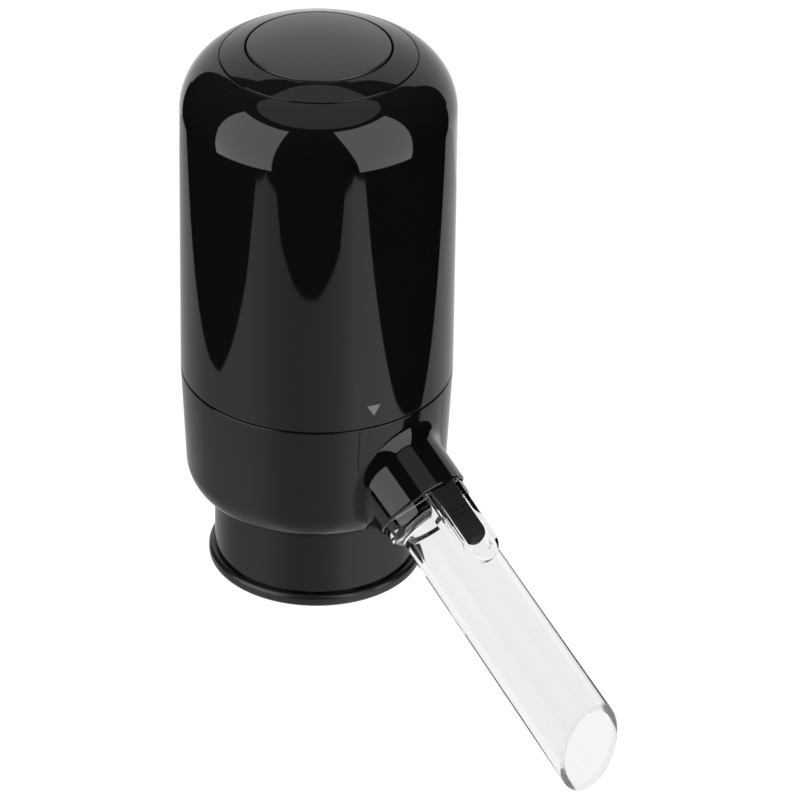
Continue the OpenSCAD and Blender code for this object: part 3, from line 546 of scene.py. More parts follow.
@dataclass
class Head:
    """Upper housing with its ring, index mark and charge port, in millimetres."""

    radius: float = 32.0
    wall: float = 2.2
    foot_z: float = 52.45
    shoulder: Point = (17.0, 120.1)
    shoulder_r: float = 15.0
    ring_seat_r: float = 22.8
    ring_r: float = 22.7
    ring_in_r: float = 17.0
    sleeve_r: float = 18.5
    sleeve_z: float = 126.333
    ledge_z: float = 131.333
    ledge_t: float = 2.0
    ledge_r: float = 19.0
    edge: float = 0.25
    mark_w: float = 3.4
    mark_h: float = 2.79
    mark_z: float = 56.9
    mark_turn: float = -18.6
    mark_proud: float = 0.02
    port_z: float = 74.3
    port_w: float = 8.9
    port_h: float = 3.2
    port_wall: float = 0.4
    port_gap: float = 0.3
    port_root_y: float = 23.6
    port_end_y: float = 30.8
    port_round: float = 0.46
    port_floor: float = 1.0

    def port_prism(self, width: float, height: float, start: float, end: float) -> Mesh:
        """Bar with round sides that runs along the charge port's axis.

        Args:
            width: Width of the bar.
            height: Height of the bar.
            start: Distance of its inner end from the body's axis.
            end: Distance of its outer end.

        Returns:
            The bar as a closed mesh.
        """
        bar = slab(round_rectangle(width, height, height * self.port_round), -end, -start)
        return turned(bar, level_at(self.port_z))

    def housing(self) -> Mesh:
        """Shell with a rounded shoulder, a seat for the ring and a slot for the charge port."""
        inner_r = self.radius - self.wall
        inner_arc = self.shoulder_r - self.wall
        under_ledge = self.ledge_z - self.ledge_t
        rise = math.degrees(math.asin((under_ledge - self.shoulder[1]) / inner_arc))
        rim = rim_round(self.shoulder, self.shoulder_r, self.ring_seat_r, self.edge, False)
        crest = math.degrees(math.acos((rim[0][0] - self.shoulder[0]) / self.shoulder_r))
        outline = [(inner_r, self.foot_z)]
        outline += arc((self.radius - self.edge, self.foot_z + self.edge), self.edge, -90.0, 0.0)
        outline += arc(self.shoulder, self.shoulder_r, 0.0, crest)[:-1]
        outline += rim
        outline += [(self.ring_seat_r, self.ledge_z), (self.ledge_r, self.ledge_z)]
        outline += [(self.ledge_r, under_ledge)]
        outline += arc(self.shoulder, inner_arc, rise, 0.0)
        slot = self.port_prism(
            self.port_w + 2 * self.port_gap,
            self.port_h + 2 * self.port_gap,
            inner_r - self.wall,
            self.radius + self.wall,
        )
        return combine(lathe(outline), Join.CUT, slot)

    def top_ring(self) -> Mesh:
        """Ring that carries the dome on between the shoulder and the button."""
        outer = rim_round(DOME, DOME_R, self.ring_r, self.edge, True)
        inner = rim_round(DOME, DOME_R, self.ring_in_r, self.edge, False)
        outline = [(self.sleeve_r, self.ledge_z), (self.ring_r, self.ledge_z)]
        outline += outer
        outline += dome_stretch(DOME, DOME_R, outer[-1][0], inner[0][0])[1:-1]
        outline += inner
        outline += [(self.ring_in_r, self.sleeve_z), (self.sleeve_r, self.sleeve_z)]
        return lathe(outline)

    def index_mark(self) -> Mesh:
        """Printed triangle that points at the seam and follows the round side."""
        half = self.mark_w / 2.0
        corners = [(-half, self.mark_h / 2.0), (0.0, -self.mark_h / 2.0), (half, self.mark_h / 2.0)]
        mark = slab(corners, self.radius - self.wall / 4.0, self.radius)
        bmesh.ops.subdivide_edges(mark, edges=mark.edges, cuts=8, use_grid_fill=True)
        for vert in mark.verts:
            depth = self.radius + self.mark_proud if vert.co.z > self.radius - WELD_MM else vert.co.z
            vert.co.z = math.sqrt(depth ** 2 - vert.co.x ** 2)
        return turned(mark, turn_about("Z", self.mark_turn) @ level_at(self.mark_z))

    def charge_port(self) -> Mesh:
        """Metal shell of the charge port with its contact tongue."""
        shell = self.port_prism(self.port_w, self.port_h, self.port_root_y, self.port_end_y)
        hollow = self.port_prism(
            self.port_w - 2 * self.port_wall,
            self.port_h - 2 * self.port_wall,
            self.port_root_y + self.port_floor,
            self.radius,
        )
        shell = combine(shell, Join.CUT, hollow)
        reach = self.port_w / 3.0
        tongue = block(
            (-reach, self.port_root_y + self.port_floor / 2.0, self.port_z - self.port_wall),
            (reach, self.port_end_y - self.port_floor, self.port_z + self.port_wall),
        )
        return combine(shell, Join.ADD, tongue)

    def build(self) -> None:
        """Builds and dresses the pieces of the head."""
        place_piece(self.housing(), "head_shell", Body.HEAD, Slot.GLOSS_BLACK, "upper_housing")
        place_piece(self.top_ring(), "head_ring", Body.HEAD, Slot.GLOSS_BLACK, "top_ring")
        place_piece(self.index_mark(), "head_index", Body.HEAD, Slot.MARK_GREY, "index_mark")
        place_piece(self.charge_port(), "head_charge_port", Body.HEAD, Slot.SCREW_STEEL, "charge_port")


@dataclass
class Button:
    """Domed push button, in millimetres."""

    radius: float = 16.6
    skin: float = 2.0
    foot_z: float = 126.033
    edge: float = 0.55

    def cap(self) -> Mesh:
        """Hollow cap with a softly rounded rim."""
        rim = rim_round(DOME, DOME_R, self.radius, self.edge, True)
        hollow_r = self.radius - self.skin
        outline = [(hollow_r, self.foot_z), (self.radius, self.foot_z)]
        outline += rim
        crown = dome_stretch(DOME, DOME_R, rim[-1][0], 0.0)[1:]
        under = dome_stretch(DOME, DOME_R - self.skin, 0.0, hollow_r)
        crown[-1] = (0.0, DOME[1] + DOME_R)
        under[0] = (0.0, DOME[1] + DOME_R - self.skin)
        return lathe(under + outline + crown)

    def build(self) -> None:
        """Builds and dresses the button."""
        place_piece(self.cap(), "button_top", Body.BUTTON, Slot.SATIN_BLACK, "button_cap")


@dataclass
class Base:
    """Lower housing, spout block and neck, in millimetres."""

    radius: float = 32.0
    top_z: float = 52.15
    foot_r: float = 30.8
    corner: Point = (21.8, 28.0)
    corner_r: float = 9.0
    wall: float = 2.2
    mouth_r: float = 22.3
    edge: float = 0.25
    tongue: float = 0.22
    panel_half: float = 13.3
    panel_z: float = 38.0
    panel_corner: float = 4.0
    panel_gap: float = 0.15
    panel_depth: float = 20.0
    socket_r: float = 11.65
    socket_rim: float = 5.6
    socket_roll: float = 0.55
    socket_bore: float = 11.1
    flare: Point = (2.6, 5.0)
    flare_sink: Point = (0.3, 0.8)
    seat_s: float = 1.6
    plug_tube_r: float = 9.3
    plug_bore: float = 7.55
    plug_end_s: float = -6.4
    plug_tube_end_s: float = -8.4
    duct_z: float = 36.5
    duct_r: float = 3.6
    duct_bore: float = 2.0
    duct_start_y: float = 14.0
    neck_r: float = 24.1
    neck_in_r: float = 21.0
    neck_spigot_r: float = 22.2
    neck_top_z: float = 25.5
    flange_z: float = 23.0
    flange_in_r: float = 9.6
    seat_gap: float = 0.05
    lip_r: float = 25.5
    lip_h: float = 3.2
    lip_edge: float = 1.1
    seal_r: float = 20.9
    grip_r: float = 15.0
    grip_h: float = 14.0
    groove: float = 0.5
    ribs: int = 4
    relief_r: float = 15.8
    gasket_z: float = 21.0
    gasket_bead_r: Point = (11.6, 14.0)

    def outer(self, inset: float, top: float, stop_r: float) -> list[Point]:
        """Half section of the lower housing from its top to its mouth, drawn in by an inset."""
        radius = self.corner_r - inset
        stop = -math.degrees(math.acos((stop_r - self.corner[0]) / radius))
        return [(self.radius - inset, top)] + arc(self.corner, radius, 0.0, stop)

    def shell(self) -> Mesh:
        """Whole shell of the lower housing, with no opening at the front and a low tongue on its rim."""
        outside = self.outer(0.0, self.top_z, self.mouth_r)[1:]
        inside = self.outer(self.wall, self.top_z, self.mouth_r)
        brim = arc((self.radius - self.edge, self.top_z - self.edge), self.edge, 90.0, 0.0)
        low, high = inside[0][0] + self.edge, self.radius - 2 * self.edge
        tip = self.top_z + self.tongue
        tongue = [(low, self.top_z), (low, tip), (high, tip), (high, self.top_z)]
        return lathe(brim + outside + inside[::-1] + tongue)

    def inner_volume(self) -> Mesh:
        """Space inside the lower housing's wall."""
        inside = self.outer(self.wall, self.top_z + self.wall, self.mouth_r)
        return lathe([(0.0, inside[0][1])] + inside + [(0.0, inside[-1][1])])

    def panel_prism(self, grow: float) -> Mesh:
        """Prism of the front panel's outline, grown by the seam around it."""
        half = self.panel_half - self.panel_corner
        radius = self.panel_corner + grow
        level = self.panel_z + self.panel_corner
        above = self.top_z + self.wall
        outline = [(half + radius, above), (-half - radius, above)]
        outline += arc((-half, level), radius, 180.0, 270.0)
        outline += arc((half, level), radius, 270.0, 360.0)
        prism = slab(outline, self.radius - self.panel_depth, self.radius + self.wall)
        return turned(prism, level_at(0.0))

    def socket(self, radius: float, start: float, end: float, roll: float) -> Mesh:
        """Round bar on the spout's axis with a rolled outer end.

        Args:
            radius: Radius of the bar.
            start: Place of its inner end along the spout.
            end: Place of its outer end.
            roll: Radius of the roll at the outer end.

        Returns:
            The bar as a closed mesh in its place.
        """
        outline = [(0.0, start), (radius, start)]
        outline += arc((radius - roll, end - roll), roll, 0.0, 90.0)
        return turned(lathe(outline + [(0.0, end)]), SPOUT_PLACE)

    def wall_r(self, z: float, grow: float) -> float:
        """Distance of the lower housing's outside from the axis at a height, grown outwards."""
        drop = self.corner[1] - z
        if drop > 0.0:
            return self.corner[0] + math.sqrt(max((self.corner_r + grow) ** 2 - drop ** 2, 0.0))
        return self.foot_r - drop * (self.radius - self.foot_r) / (self.top_z - self.corner[1]) + grow

    def near_wall(self, turn: float, reach: float, grow: float) -> Vector:
        """Point beside the spout's axis that is a given distance off the lower housing's outside.

        Args:
            turn: Angle around the spout's axis, in radians.
            reach: Distance from the spout's axis.
            grow: Distance off the housing, outwards.

        Returns:
            The point.
        """
        low, high = self.plug_tube_end_s - reach, 2.0 * reach
        for _ in range(HALVINGS):
            s = (low + high) / 2.0
            point = SPOUT_PLACE @ Vector((reach * math.cos(turn), reach * math.sin(turn), s))
            if math.hypot(point.x, point.y) < self.wall_r(point.z, grow):
                low = s
            else:
                high = s
        return point

    def flare_section(self, turn: float) -> list[Vector]:
        """Section of the flare at an angle around the spout's axis: a hollow arc and its sunk corner."""
        lift = min(1.0 + math.sin(turn), 1.0)
        radius = self.flare[0] + (self.flare[1] - self.flare[0]) * lift * lift * (3.0 - 2.0 * lift)
        ball = self.near_wall(turn, self.socket_r + radius, radius)
        off_socket = SPOUT_PLACE.to_3x3() @ Vector((math.cos(turn), math.sin(turn), 0.0))
        off_wall = Vector((ball.x, ball.y, 0.0)).normalized()
        if ball.z < self.corner[1]:
            off_wall = (ball - off_wall * self.corner[0] - Vector((0.0, 0.0, self.corner[1]))).normalized()
        shares = [i / FLARE_STEPS for i in range(FLARE_STEPS + 1)]
        hollow = [ball - radius * off_socket.slerp(off_wall, share) for share in shares]
        sunk = self.near_wall(turn, self.socket_r - self.flare_sink[0], -self.flare_sink[1])
        ends = (hollow[-1] - self.flare_sink[1] * off_wall, sunk, hollow[0] - self.flare_sink[0] * off_socket)
        return hollow + list(ends)

    def flare_ring(self) -> Mesh:
        """Flare where the socket grows out of the housing, wide above and level with the underside."""
        turns = [math.tau * i / ROUND_STEPS for i in range(ROUND_STEPS)]
        ring = skin([self.flare_section(turn) for turn in turns])
        under = self.corner[1] - self.corner_r
        return combine(ring, Join.CUT, rod(2 * self.radius, -under, under))

    def duct(self, radius: float, start: float) -> Mesh:
        """Level bar where the wine enters the spout block."""
        end = self.radius - 2 * self.wall
        return turned(rod(radius, start, end, ROUND_STEPS // 4), level_at(self.duct_z))

    def housing(self) -> Mesh:
        """Lower shell with the openings for the front panel and the spout's socket."""
        hole = self.socket(self.socket_r + self.panel_gap, self.plug_tube_end_s, self.socket_rim, self.edge)
        return combine(self.shell(), Join.CUT, self.panel_prism(self.panel_gap), hole)

    def spout_block(self) -> Mesh:
        """Front panel with the socket that the spout plugs into."""
        panel = combine(self.shell(), Join.KEEP, self.panel_prism(0.0))
        tube = self.socket(self.socket_r, self.plug_tube_end_s, self.socket_rim, self.socket_roll)
        tube = combine(tube, Join.CUT, self.inner_volume())
        plug_tube = self.socket(self.plug_tube_r, self.plug_tube_end_s, self.seat_s, self.edge)
        duct = self.duct(self.duct_r, self.duct_start_y)
        whole = combine(panel, Join.ADD, tube, self.flare_ring(), plug_tube, duct)
        bore = [(0.0, self.plug_end_s), (self.plug_bore, self.plug_end_s), (self.plug_bore, self.seat_s)]
        past_rim = self.socket_rim + CUT_SPARE_MM
        bore += [(self.socket_bore, self.seat_s), (self.socket_bore, past_rim), (0.0, past_rim)]
        duct_bore = self.duct(self.duct_bore, self.duct_start_y - CUT_SPARE_MM)
        return combine(whole, Join.CUT, turned(lathe(bore), SPOUT_PLACE), duct_bore)

    def neck(self) -> Mesh:
        """Collar below the body with its spigot and flange."""
        seat = self.outer(-self.seat_gap, self.top_z, self.neck_spigot_r)
        seat_arc = [p for p in seat[1:] if p[0] <= self.neck_r]
        outline = [(self.neck_in_r, self.lip_h / 2.0), (self.neck_r, self.lip_h / 2.0)]
        outline += [(self.neck_r, seat_arc[0][1] + self.seat_gap)] + seat_arc
        outline += [(self.neck_spigot_r, self.neck_top_z), (self.flange_in_r, self.neck_top_z)]
        outline += [(self.flange_in_r, self.flange_z), (self.neck_in_r, self.flange_z)]
        return lathe(outline)

    def lip(self) -> Mesh:
        """Bead around the mouth of the collar."""
        x = self.lip_r - self.lip_edge
        outline = [(self.neck_in_r, 0.0)]
        outline += arc((x, self.lip_edge), self.lip_edge, -90.0, 0.0)
        outline += arc((x, self.lip_h - self.lip_edge), self.lip_edge, 0.0, 90.0)
        seat_r = self.neck_r + self.seat_gap
        outline += [(seat_r, self.lip_h), (seat_r, self.lip_h / 2.0)]
        return lathe(outline + [(self.neck_in_r, self.lip_h / 2.0)])

    def seal(self) -> Mesh:
        """Soft sleeve with grip ribs that takes the bottle's neck."""
        pitch = self.grip_h / self.ribs
        bead = (pitch - self.groove) / 2.0
        bore: list[Point] = []
        for i in range(self.ribs):
            middle = (i + 0.5) * pitch
            bore += arc((self.grip_r + bead, middle), bead, 270.0, 90.0)
        bore = [(min(r, self.grip_r + self.groove), z) for r, z in bore]
        outline = [(self.relief_r, 0.0)] + bore
        outline += [(self.relief_r, self.grip_h), (self.relief_r, self.gasket_z)]
        outline += [(self.seal_r, self.gasket_z), (self.seal_r, 0.0)]
        return lathe(outline)

    def gasket(self) -> Mesh:
        """Washer that the bottle's mouth presses on, with two sealing beads."""
        bead = self.groove
        outline = [(self.flange_in_r, self.flange_z), (self.flange_in_r, self.gasket_z + bead)]
        for r in self.gasket_bead_r:
            outline += arc((r, self.gasket_z + bead), bead, 180.0, 360.0)
        outline += [(self.seal_r, self.gasket_z + bead / 4.0), (self.seal_r, self.flange_z)]
        return lathe(outline)

    def build(self) -> None:
        """Builds and dresses the pieces of the base."""
        place_piece(self.housing(), "base_shell", Body.BASE, Slot.GLOSS_BLACK, "lower_housing")
        place_piece(self.spout_block(), "base_spout_block", Body.BASE, Slot.GLOSS_BLACK, "spout_block")
        neck = place_piece(self.neck(), "base_neck", Body.BASE, Slot.GLOSS_BLACK, "neck_collar")
        lip = place_piece(self.lip(), "base_lip", Body.BASE, Slot.BLACK_RUBBER, "lip_ring")
        # The clear spout stays pale where the collar is behind it.
        for piece in (neck, lip):
            piece.visible_transmission = False
        place_piece(self.seal(), "base_seal", Body.BASE, Slot.BLACK_RUBBER, "bottle_seal")
        place_piece(self.gasket(), "base_gasket", Body.BASE, Slot.SILICONE, "mouth_gasket")


SPOUT_ROOT = (0.0, -32.0, 32.5)
SPOUT_PITCH_DEG = 35.0
SPOUT_PLACE = Matrix.Translation(SPOUT_ROOT) @ turn_about("X", 90.0 + SPOUT_PITCH_DEG)
ALONG_SPOUT = SPOUT_PLACE @ turn_about("X", -90.0)


def spout_bar(
    width: float, span: Point, heights: Point, round_end: bool = True, top_edge: float = 0.0
) -> Mesh:
    """Flat bar that lies along the spout.

    Args:
        width: Width of the bar.
        span: First and last place along the spout.
        heights: Lower and upper face above the spout's axis.
        round_end: True where the far end is a half circle.
        top_edge: Radius of the round along the upper edges.

    Returns:
        The bar as a closed mesh, before it is put in its place.
    """
    half = width / 2.0
    if round_end:
        outline = tongue_outline(width, span[0], span[1])
    else:
        outline = [(-half, span[0]), (half, span[0]), (half, span[1]), (-half, span[1])]
    bar = slab([(x, -s) for x, s in reversed(outline)], heights[0], heights[1])
    if top_edge > 0.0:
        soften(bar, edges_at(bar, 2, heights[1]), top_edge, 4)
    return bar


@dataclass
class Spout:
    """Clear spout with its collar and the boss that carries the lock, in millimetres along its axis."""

    plug_r: float = 7.5
    plug_s: float = -6.1
    plug_edge: float = 0.5
    ring_s: float = -3.1
    ring_groove: float = 1.15
    collar_r: float = 10.8
    collar_span: Point = (1.9, 10.2)
    collar_edge: float = 2.0
    collar_foot_edge: float = 0.4
    collar_turn: float = 80.0
    tube_r: float = 8.7
    tip_r: float = 9.6
    tube_s: float = 2.6
    tube_end_s: float = 98.03
    wall: float = 1.6
    feed_r: float = 5.2
    feed_end_s: float = 4.0
    reach_y: float = -93.1
    tip_round: float = 0.55
    boss_w: float = 10.2
    boss_span: Point = (5.9, 26.5)
    boss_top: float = 10.6
    boss_edge: float = 0.45
    pocket_w: float = 6.8
    pocket_end_s: float = 24.5
    pocket_floor: float = 8.85
    rail_w: float = 8.0
    rail_end_s: float = 23.7
    rail_top: float = 9.85

    def tube_radius(self, s: float) -> float:
        """Outside radius of the tapered tube at a place along it."""
        return self.tube_r + (self.tip_r - self.tube_r) * (s - self.tube_s) / (self.tube_end_s - self.tube_s)

    def section(self) -> list[Point]:
        """Half section of the plug, the collar and the tube, with the bore."""
        foot = self.collar_foot_edge
        blend_s = self.collar_span[1] + foot
        outline = [(self.feed_r, self.plug_s)]
        edge = self.plug_edge
        outline += arc((self.plug_r - edge, self.plug_s + edge), edge, -90.0, 0.0)
        outline += arc((self.plug_r, self.ring_s), self.ring_groove, 270.0, 90.0)
        outline += [(self.plug_r, self.collar_span[0])]
        outline += arc((self.collar_r - foot, self.collar_span[0] + foot), foot, -90.0, 0.0)
        shoulder = (self.collar_r - self.collar_edge, self.collar_span[1] - self.collar_edge)
        outline += arc(shoulder, self.collar_edge, 0.0, self.collar_turn)
        outline += [(self.tube_radius(blend_s) + foot / 4.0, blend_s - foot / 4.0)]
        outline += [(self.tube_radius(blend_s + foot), blend_s + foot)]
        outline += [(self.tip_r, self.tube_end_s), (self.tip_r - self.wall, self.tube_end_s)]
        return outline + [(self.tube_r - self.wall, self.feed_end_s), (self.feed_r, self.feed_end_s)]

    def tube(self) -> Mesh:
        """Round body of the spout, cut upright at its tip with a rounded rim."""
        mesh = turned(lathe(self.section()), SPOUT_PLACE)
        everything = mesh.verts[:] + mesh.edges[:] + mesh.faces[:]
        bmesh.ops.bisect_plane(
            mesh, geom=everything, plane_co=(0, self.reach_y, 0), plane_no=(0, -1, 0), clear_outer=True
        )
        bmesh.ops.bridge_loops(mesh, edges=[edge for edge in mesh.edges if edge.is_boundary])
        soften(mesh, edges_at(mesh, 1, self.reach_y), self.tip_round, 5)
        bmesh.ops.recalc_face_normals(mesh, faces=mesh.faces)
        return mesh

    def boss(self) -> Mesh:
        """Boss with upright sides and a round end, hollowed below so that it ends in the tube's wall."""
        start, end = self.boss_span[0] - CUT_SPARE_MM, self.boss_span[1] + CUT_SPARE_MM
        bar = spout_bar(self.boss_w, self.boss_span, (self.feed_r, self.boss_top), True, self.boss_edge)
        middle = self.tube_r - self.wall / 2.0
        core = turned(rod(middle, start, end), SPOUT_PLACE)
        return combine(turned(bar, ALONG_SPOUT), Join.CUT, core)

    def build_mesh(self) -> Mesh:
        """Whole clear piece: tube, boss, pocket and the grooves for the lock's rails."""
        cuts = (
            spout_bar(self.pocket_w, (0.0, self.pocket_end_s), (self.pocket_floor, 2 * self.boss_top)),
            spout_bar(self.rail_w, (0.0, self.rail_end_s), (self.pocket_floor, self.rail_top)),
        )
        mesh = combine(self.tube(), Join.ADD, self.boss())
        return combine(mesh, Join.CUT, *[turned(cut, ALONG_SPOUT) for cut in cuts])

    def build(self) -> None:
        """Builds the spout and dresses its thick root and its cut rim apart from its thin wall."""
        piece = place_piece(self.build_mesh(), "spout_clear", Body.SPOUT, Slot.CLEAR_PLASTIC, "spout_tube")
        for finish in (CLEAR_ROOT, CLEAR_RIM):
            piece.data.materials.append(finish.make())
        back = SPOUT_PLACE.inverted()
        for face in piece.data.polygons:
            middle = face.center / MM
            if (back @ middle).z < self.boss_span[1] + self.boss_edge:
                face.material_index = 1
            elif middle.y < self.reach_y + self.tip_round:
                face.material_index = 2


@dataclass
class Lock:
    """Black slider that locks the spout in its socket, in millimetres along the spout."""

    width: float = 6.3
    span: Point = (5.9, 21.6)
    heights: Point = (9.1, 10.95)
    edge: float = 0.3
    end_slope: float = 1.5
    rail_w: float = 7.5
    rail_t: float = 0.5
    rail_end_s: float = 15.3
    tongue_w: float = 4.4
    tongue_s: float = 3.7
    ridge: float = 0.7
    ridge_w: float = 4.8
    ridge_h: float = 0.33
    ridge_s: Point = (11.85, 13.25)
    ridge_round: float = 0.28
    ridge_edge: float = 0.175

    def build_mesh(self) -> Mesh:
        """Plate with a sloped round end, side rails, a tongue and two thumb ridges."""
        plate = spout_bar(self.width, self.span, self.heights, True, self.edge)
        rail_top = self.heights[0] + self.rail_t
        rails = spout_bar(self.rail_w, (self.span[0], self.rail_end_s), (self.heights[0], rail_top), False)
        tongue = spout_bar(
            self.tongue_w, (self.tongue_s, self.span[0] + self.ridge), (self.heights[0], rail_top), False
        )
        plate = combine(plate, Join.ADD, rails, tongue)
        for s in self.ridge_s:
            top = self.heights[1] + self.ridge_h
            bar = slab(round_rectangle(self.ridge_w, self.ridge, self.ridge_round), self.heights[0], top)
            soften(bar, edges_at(bar, 2, top), self.ridge_edge)
            bmesh.ops.translate(bar, verts=bar.verts, vec=(0, -s, 0))
            plate = combine(plate, Join.ADD, bar)
        slope = Vector((0, -1.0, self.end_slope)).normalized()
        everything = plate.verts[:] + plate.edges[:] + plate.faces[:]
        foot = (0, -self.span[1], rail_top + self.rail_t)
        cut = bmesh.ops.bisect_plane(
            plate, geom=everything, plane_co=foot, plane_no=slope, clear_outer=True
        )
        loop = [item for item in cut["geom_cut"] if isinstance(item, bmesh.types.BMEdge)]
        bmesh.ops.contextual_create(plate, geom=loop)
        bmesh.ops.recalc_face_normals(plate, faces=plate.faces)
        return turned(plate, ALONG_SPOUT)

    def build(self) -> None:
        """Builds and dresses the lock."""
        place_piece(self.build_mesh(), "spout_slider", Body.LOCK, Slot.SATIN_BLACK, "spout_lock", LATCH_BLACK)


@dataclass
class InnerWorks:
    """Nodes of the frame that stay as they are and only get a finish."""

    finishes: dict[Slot, Finish]

    def dress(self) -> None:
        """Gives each node that still shows the finish of its slot."""
        for row in frame["record"]["subparts"]:
            node = frame["nodes"][row["node"]]
            material = self.finishes[Slot(row["material_slot"])].make()
            if not node.material_slots:
                node.data.materials.append(material)
            for holder in node.material_slots:
                holder.material = material
            LOG.info("%s: finish %s", row["node"], material.name)


@dataclass
class Viewpoint:
    """Camera at the photograph's place. Angles are in degrees and lengths in metres."""

    image_px: float = 800.0
    focal_px: float = 6241.0
    sensor_mm: float = 36.0
    distance: float = 1.25559
    height: float = 0.80906
    pitch: float = 31.4199
    yaw: float = 0.89536
    roll: float = 0.81921

    def build(self) -> None:
        """Adds the camera and makes it the scene's own."""
        stand = Matrix.Translation((0.0, -self.distance, self.height))
        gaze = turn_about("Z", -self.yaw) @ turn_about("X", 90.0 - self.pitch) @ turn_about("Z", self.roll)
        data = bpy.data.cameras.new("viewpoint")
        data.sensor_width = self.sensor_mm
        data.lens = self.sensor_mm * self.focal_px / self.image_px
        data.dof.use_dof = False
        camera = bpy.data.objects.new("viewpoint", data)
        camera.matrix_world = turn_about("Z", -VIEW_TURN_DEG) @ stand @ gaze
        bpy.context.scene.collection.objects.link(camera)
        bpy.context.scene.camera = camera
        LOG.info("viewpoint: lens %.1f mm", data.lens)


@dataclass
class Studio:
    """Pale floor, white surroundings, soft lamps and the far cards that the gloss reflects, in metres.

    Directions are in degrees, with azimuth 0 towards the camera.
    """

    floor_z: float = -0.10
    floor_half: float = 6.0
    floor_glow: float = 0.86
    floor_shade: float = 0.82
    floor_roughness: float = 0.9
    room_light: float = 0.55
    lamp_size: float = 0.9
    lamp_aim: tuple[float, float, float] = (0.0, -0.02, 0.06)
    eye_z: float = 0.06
    hood_r: float = 2.0
    card_r: float = 1.9
    lift: float = 0.001
    clear_share: float = 0.95
    hood_foot: float = -4.5
    sheet: tuple[Point, ...] = (
        (-0.285, 0.400), (-0.286, 0.100), (-0.283, -0.020), (-0.303, -0.183), (-0.333, -0.274),
        (-0.294, -0.328), (-0.234, -0.359), (-0.190, -0.339), (-0.100, -0.341), (0.000, -0.350),
        (0.116, -0.366), (0.155, -0.400), (0.217, -0.386), (0.267, -0.346), (0.259, -0.250),
        (0.250, -0.110), (0.259, 0.020), (0.285, 0.110), (0.330, 0.240), (0.400, 0.310),
    )
    # Painted light on the pale sheet: its brightness at each azimuth, higher towards the soft boxes.
    sheet_glow: tuple[Point, ...] = (
        (-180.0, 0.55), (-105.0, 0.50), (-90.0, 0.62), (-75.0, 0.80), (-58.0, 0.95),
        (-45.0, 0.87), (-32.0, 0.68), (-18.0, 0.60), (0.0, 0.66), (14.0, 0.80),
        (22.0, 1.00), (30.0, 1.33), (60.0, 1.35), (105.0, 0.68),
    )
    table_share: float = 8.0
    left_side: tuple[Point, ...] = ((-180.0, 64.0), (-164.0, 65.0), (-144.0, 53.0), (-142.0, -4.5))
    right_side: tuple[Point, ...] = (
        (130.0, -4.5), (131.0, 38.0), (141.0, 49.0), (155.0, 62.0), (180.0, 64.0),
    )

    @staticmethod
    def seen_directly(tree: Tree, camera_share: float) -> Socket:
        """Adds nodes that tell rays of the camera, of gloss and of clear plastic from the others.

        Args:
            tree: Node tree of the world or of a material.
            camera_share: Value for rays of the camera.

        Returns:
            A socket with 1 for rays of gloss and of clear plastic, camera_share for the camera's, or 0.
        """
        path = add_node(tree, "LightPath").outputs
        camera = add_math(tree, "MULTIPLY", path["Is Camera Ray"], camera_share)
        bent = add_math(tree, "MAXIMUM", path["Is Glossy Ray"], path["Is Transmission Ray"])
        return add_math(tree, "MAXIMUM", camera, bent)

    def surroundings(self) -> None:
        """White world for what is seen directly, and a plain level of light for the rest."""
        world = bpy.data.worlds.new("surroundings")
        bpy.context.scene.world = world
        tree = node_tree(world)
        seen = self.seen_directly(tree, 1.0)
        level = add_node(tree, "MapRange", {"Value": seen, "To Min": self.room_light, "To Max": 1.0})
        feed(tree, tree.nodes["Background"], {"Color": WHITE, "Strength": level.outputs["Result"]})

    def floor(self) -> None:
        """Pale floor below the part, white in the gloss, that keeps the part's shadow."""
        mesh = bmesh.new()
        bmesh.ops.create_grid(mesh, x_segments=1, y_segments=1, size=self.floor_half)
        bmesh.ops.translate(mesh, verts=mesh.verts, vec=(0, 0, self.floor_z))
        floor = to_object(mesh, "floor")
        material = bpy.data.materials.new("pale_floor")
        tree = node_tree(material)
        shade = {"Base Color": (*[self.floor_shade] * 3, 1.0), "Roughness": self.floor_roughness}
        white = add_node(tree, "Emission").outputs["Emission"]
        mix_surface(tree, shade, white, self.seen_directly(tree, self.floor_glow))
        floor.data.materials.append(material)

    def faced(self, across: float, ahead: float, z: float) -> Vector:
        """Point given to the right of the camera's line and away from the camera."""
        return turn_about("Z", -VIEW_TURN_DEG) @ Vector((across, ahead, z))

    def lamp(self, name: str, place: Sequence[float], power: float) -> None:
        """Adds a soft square lamp that faces the part and stays out of the gloss.

        Args:
            name: Name of the lamp.
            place: Where it hangs: to the right, away from the camera, and up.
            power: Power in watts.
        """
        data = bpy.data.lights.new(name, "AREA")
        data.energy = power
        data.size = self.lamp_size
        lamp = bpy.data.objects.new(name, data)
        lamp.location = self.faced(*place)
        aim = Vector(self.lamp_aim) - lamp.location
        lamp.rotation_euler = aim.to_track_quat("-Z", "Y").to_euler()
        lamp.visible_glossy = False
        lamp.visible_camera = False
        bpy.context.scene.collection.objects.link(lamp)

    def towards(self, azimuth: float, elevation: float, radius: float) -> Vector:
        """Point of a far card in a direction, bent onto the level cards where these hide it."""
        a, e = math.radians(azimuth), math.radians(elevation)
        ray = self.faced(math.sin(a) * math.cos(e), -math.cos(a) * math.cos(e), math.sin(e))
        lowest = self.floor_z + 2.0 * self.lift - self.eye_z
        reach = min(radius, lowest / ray.z) if ray.z < 0.0 else radius
        return ray * reach + Vector((0.0, 0.0, self.eye_z))

    def skyline(self, azimuth: float) -> float:
        """Lower edge of the dark hood: level in front, and an arch at the back."""
        for side in (self.left_side, self.right_side):
            for (a0, e0), (a1, e1) in zip(side, side[1:]):
                if a0 <= azimuth <= a1:
                    return e0 + (e1 - e0) * (azimuth - a0) / (a1 - a0)
        return self.hood_foot

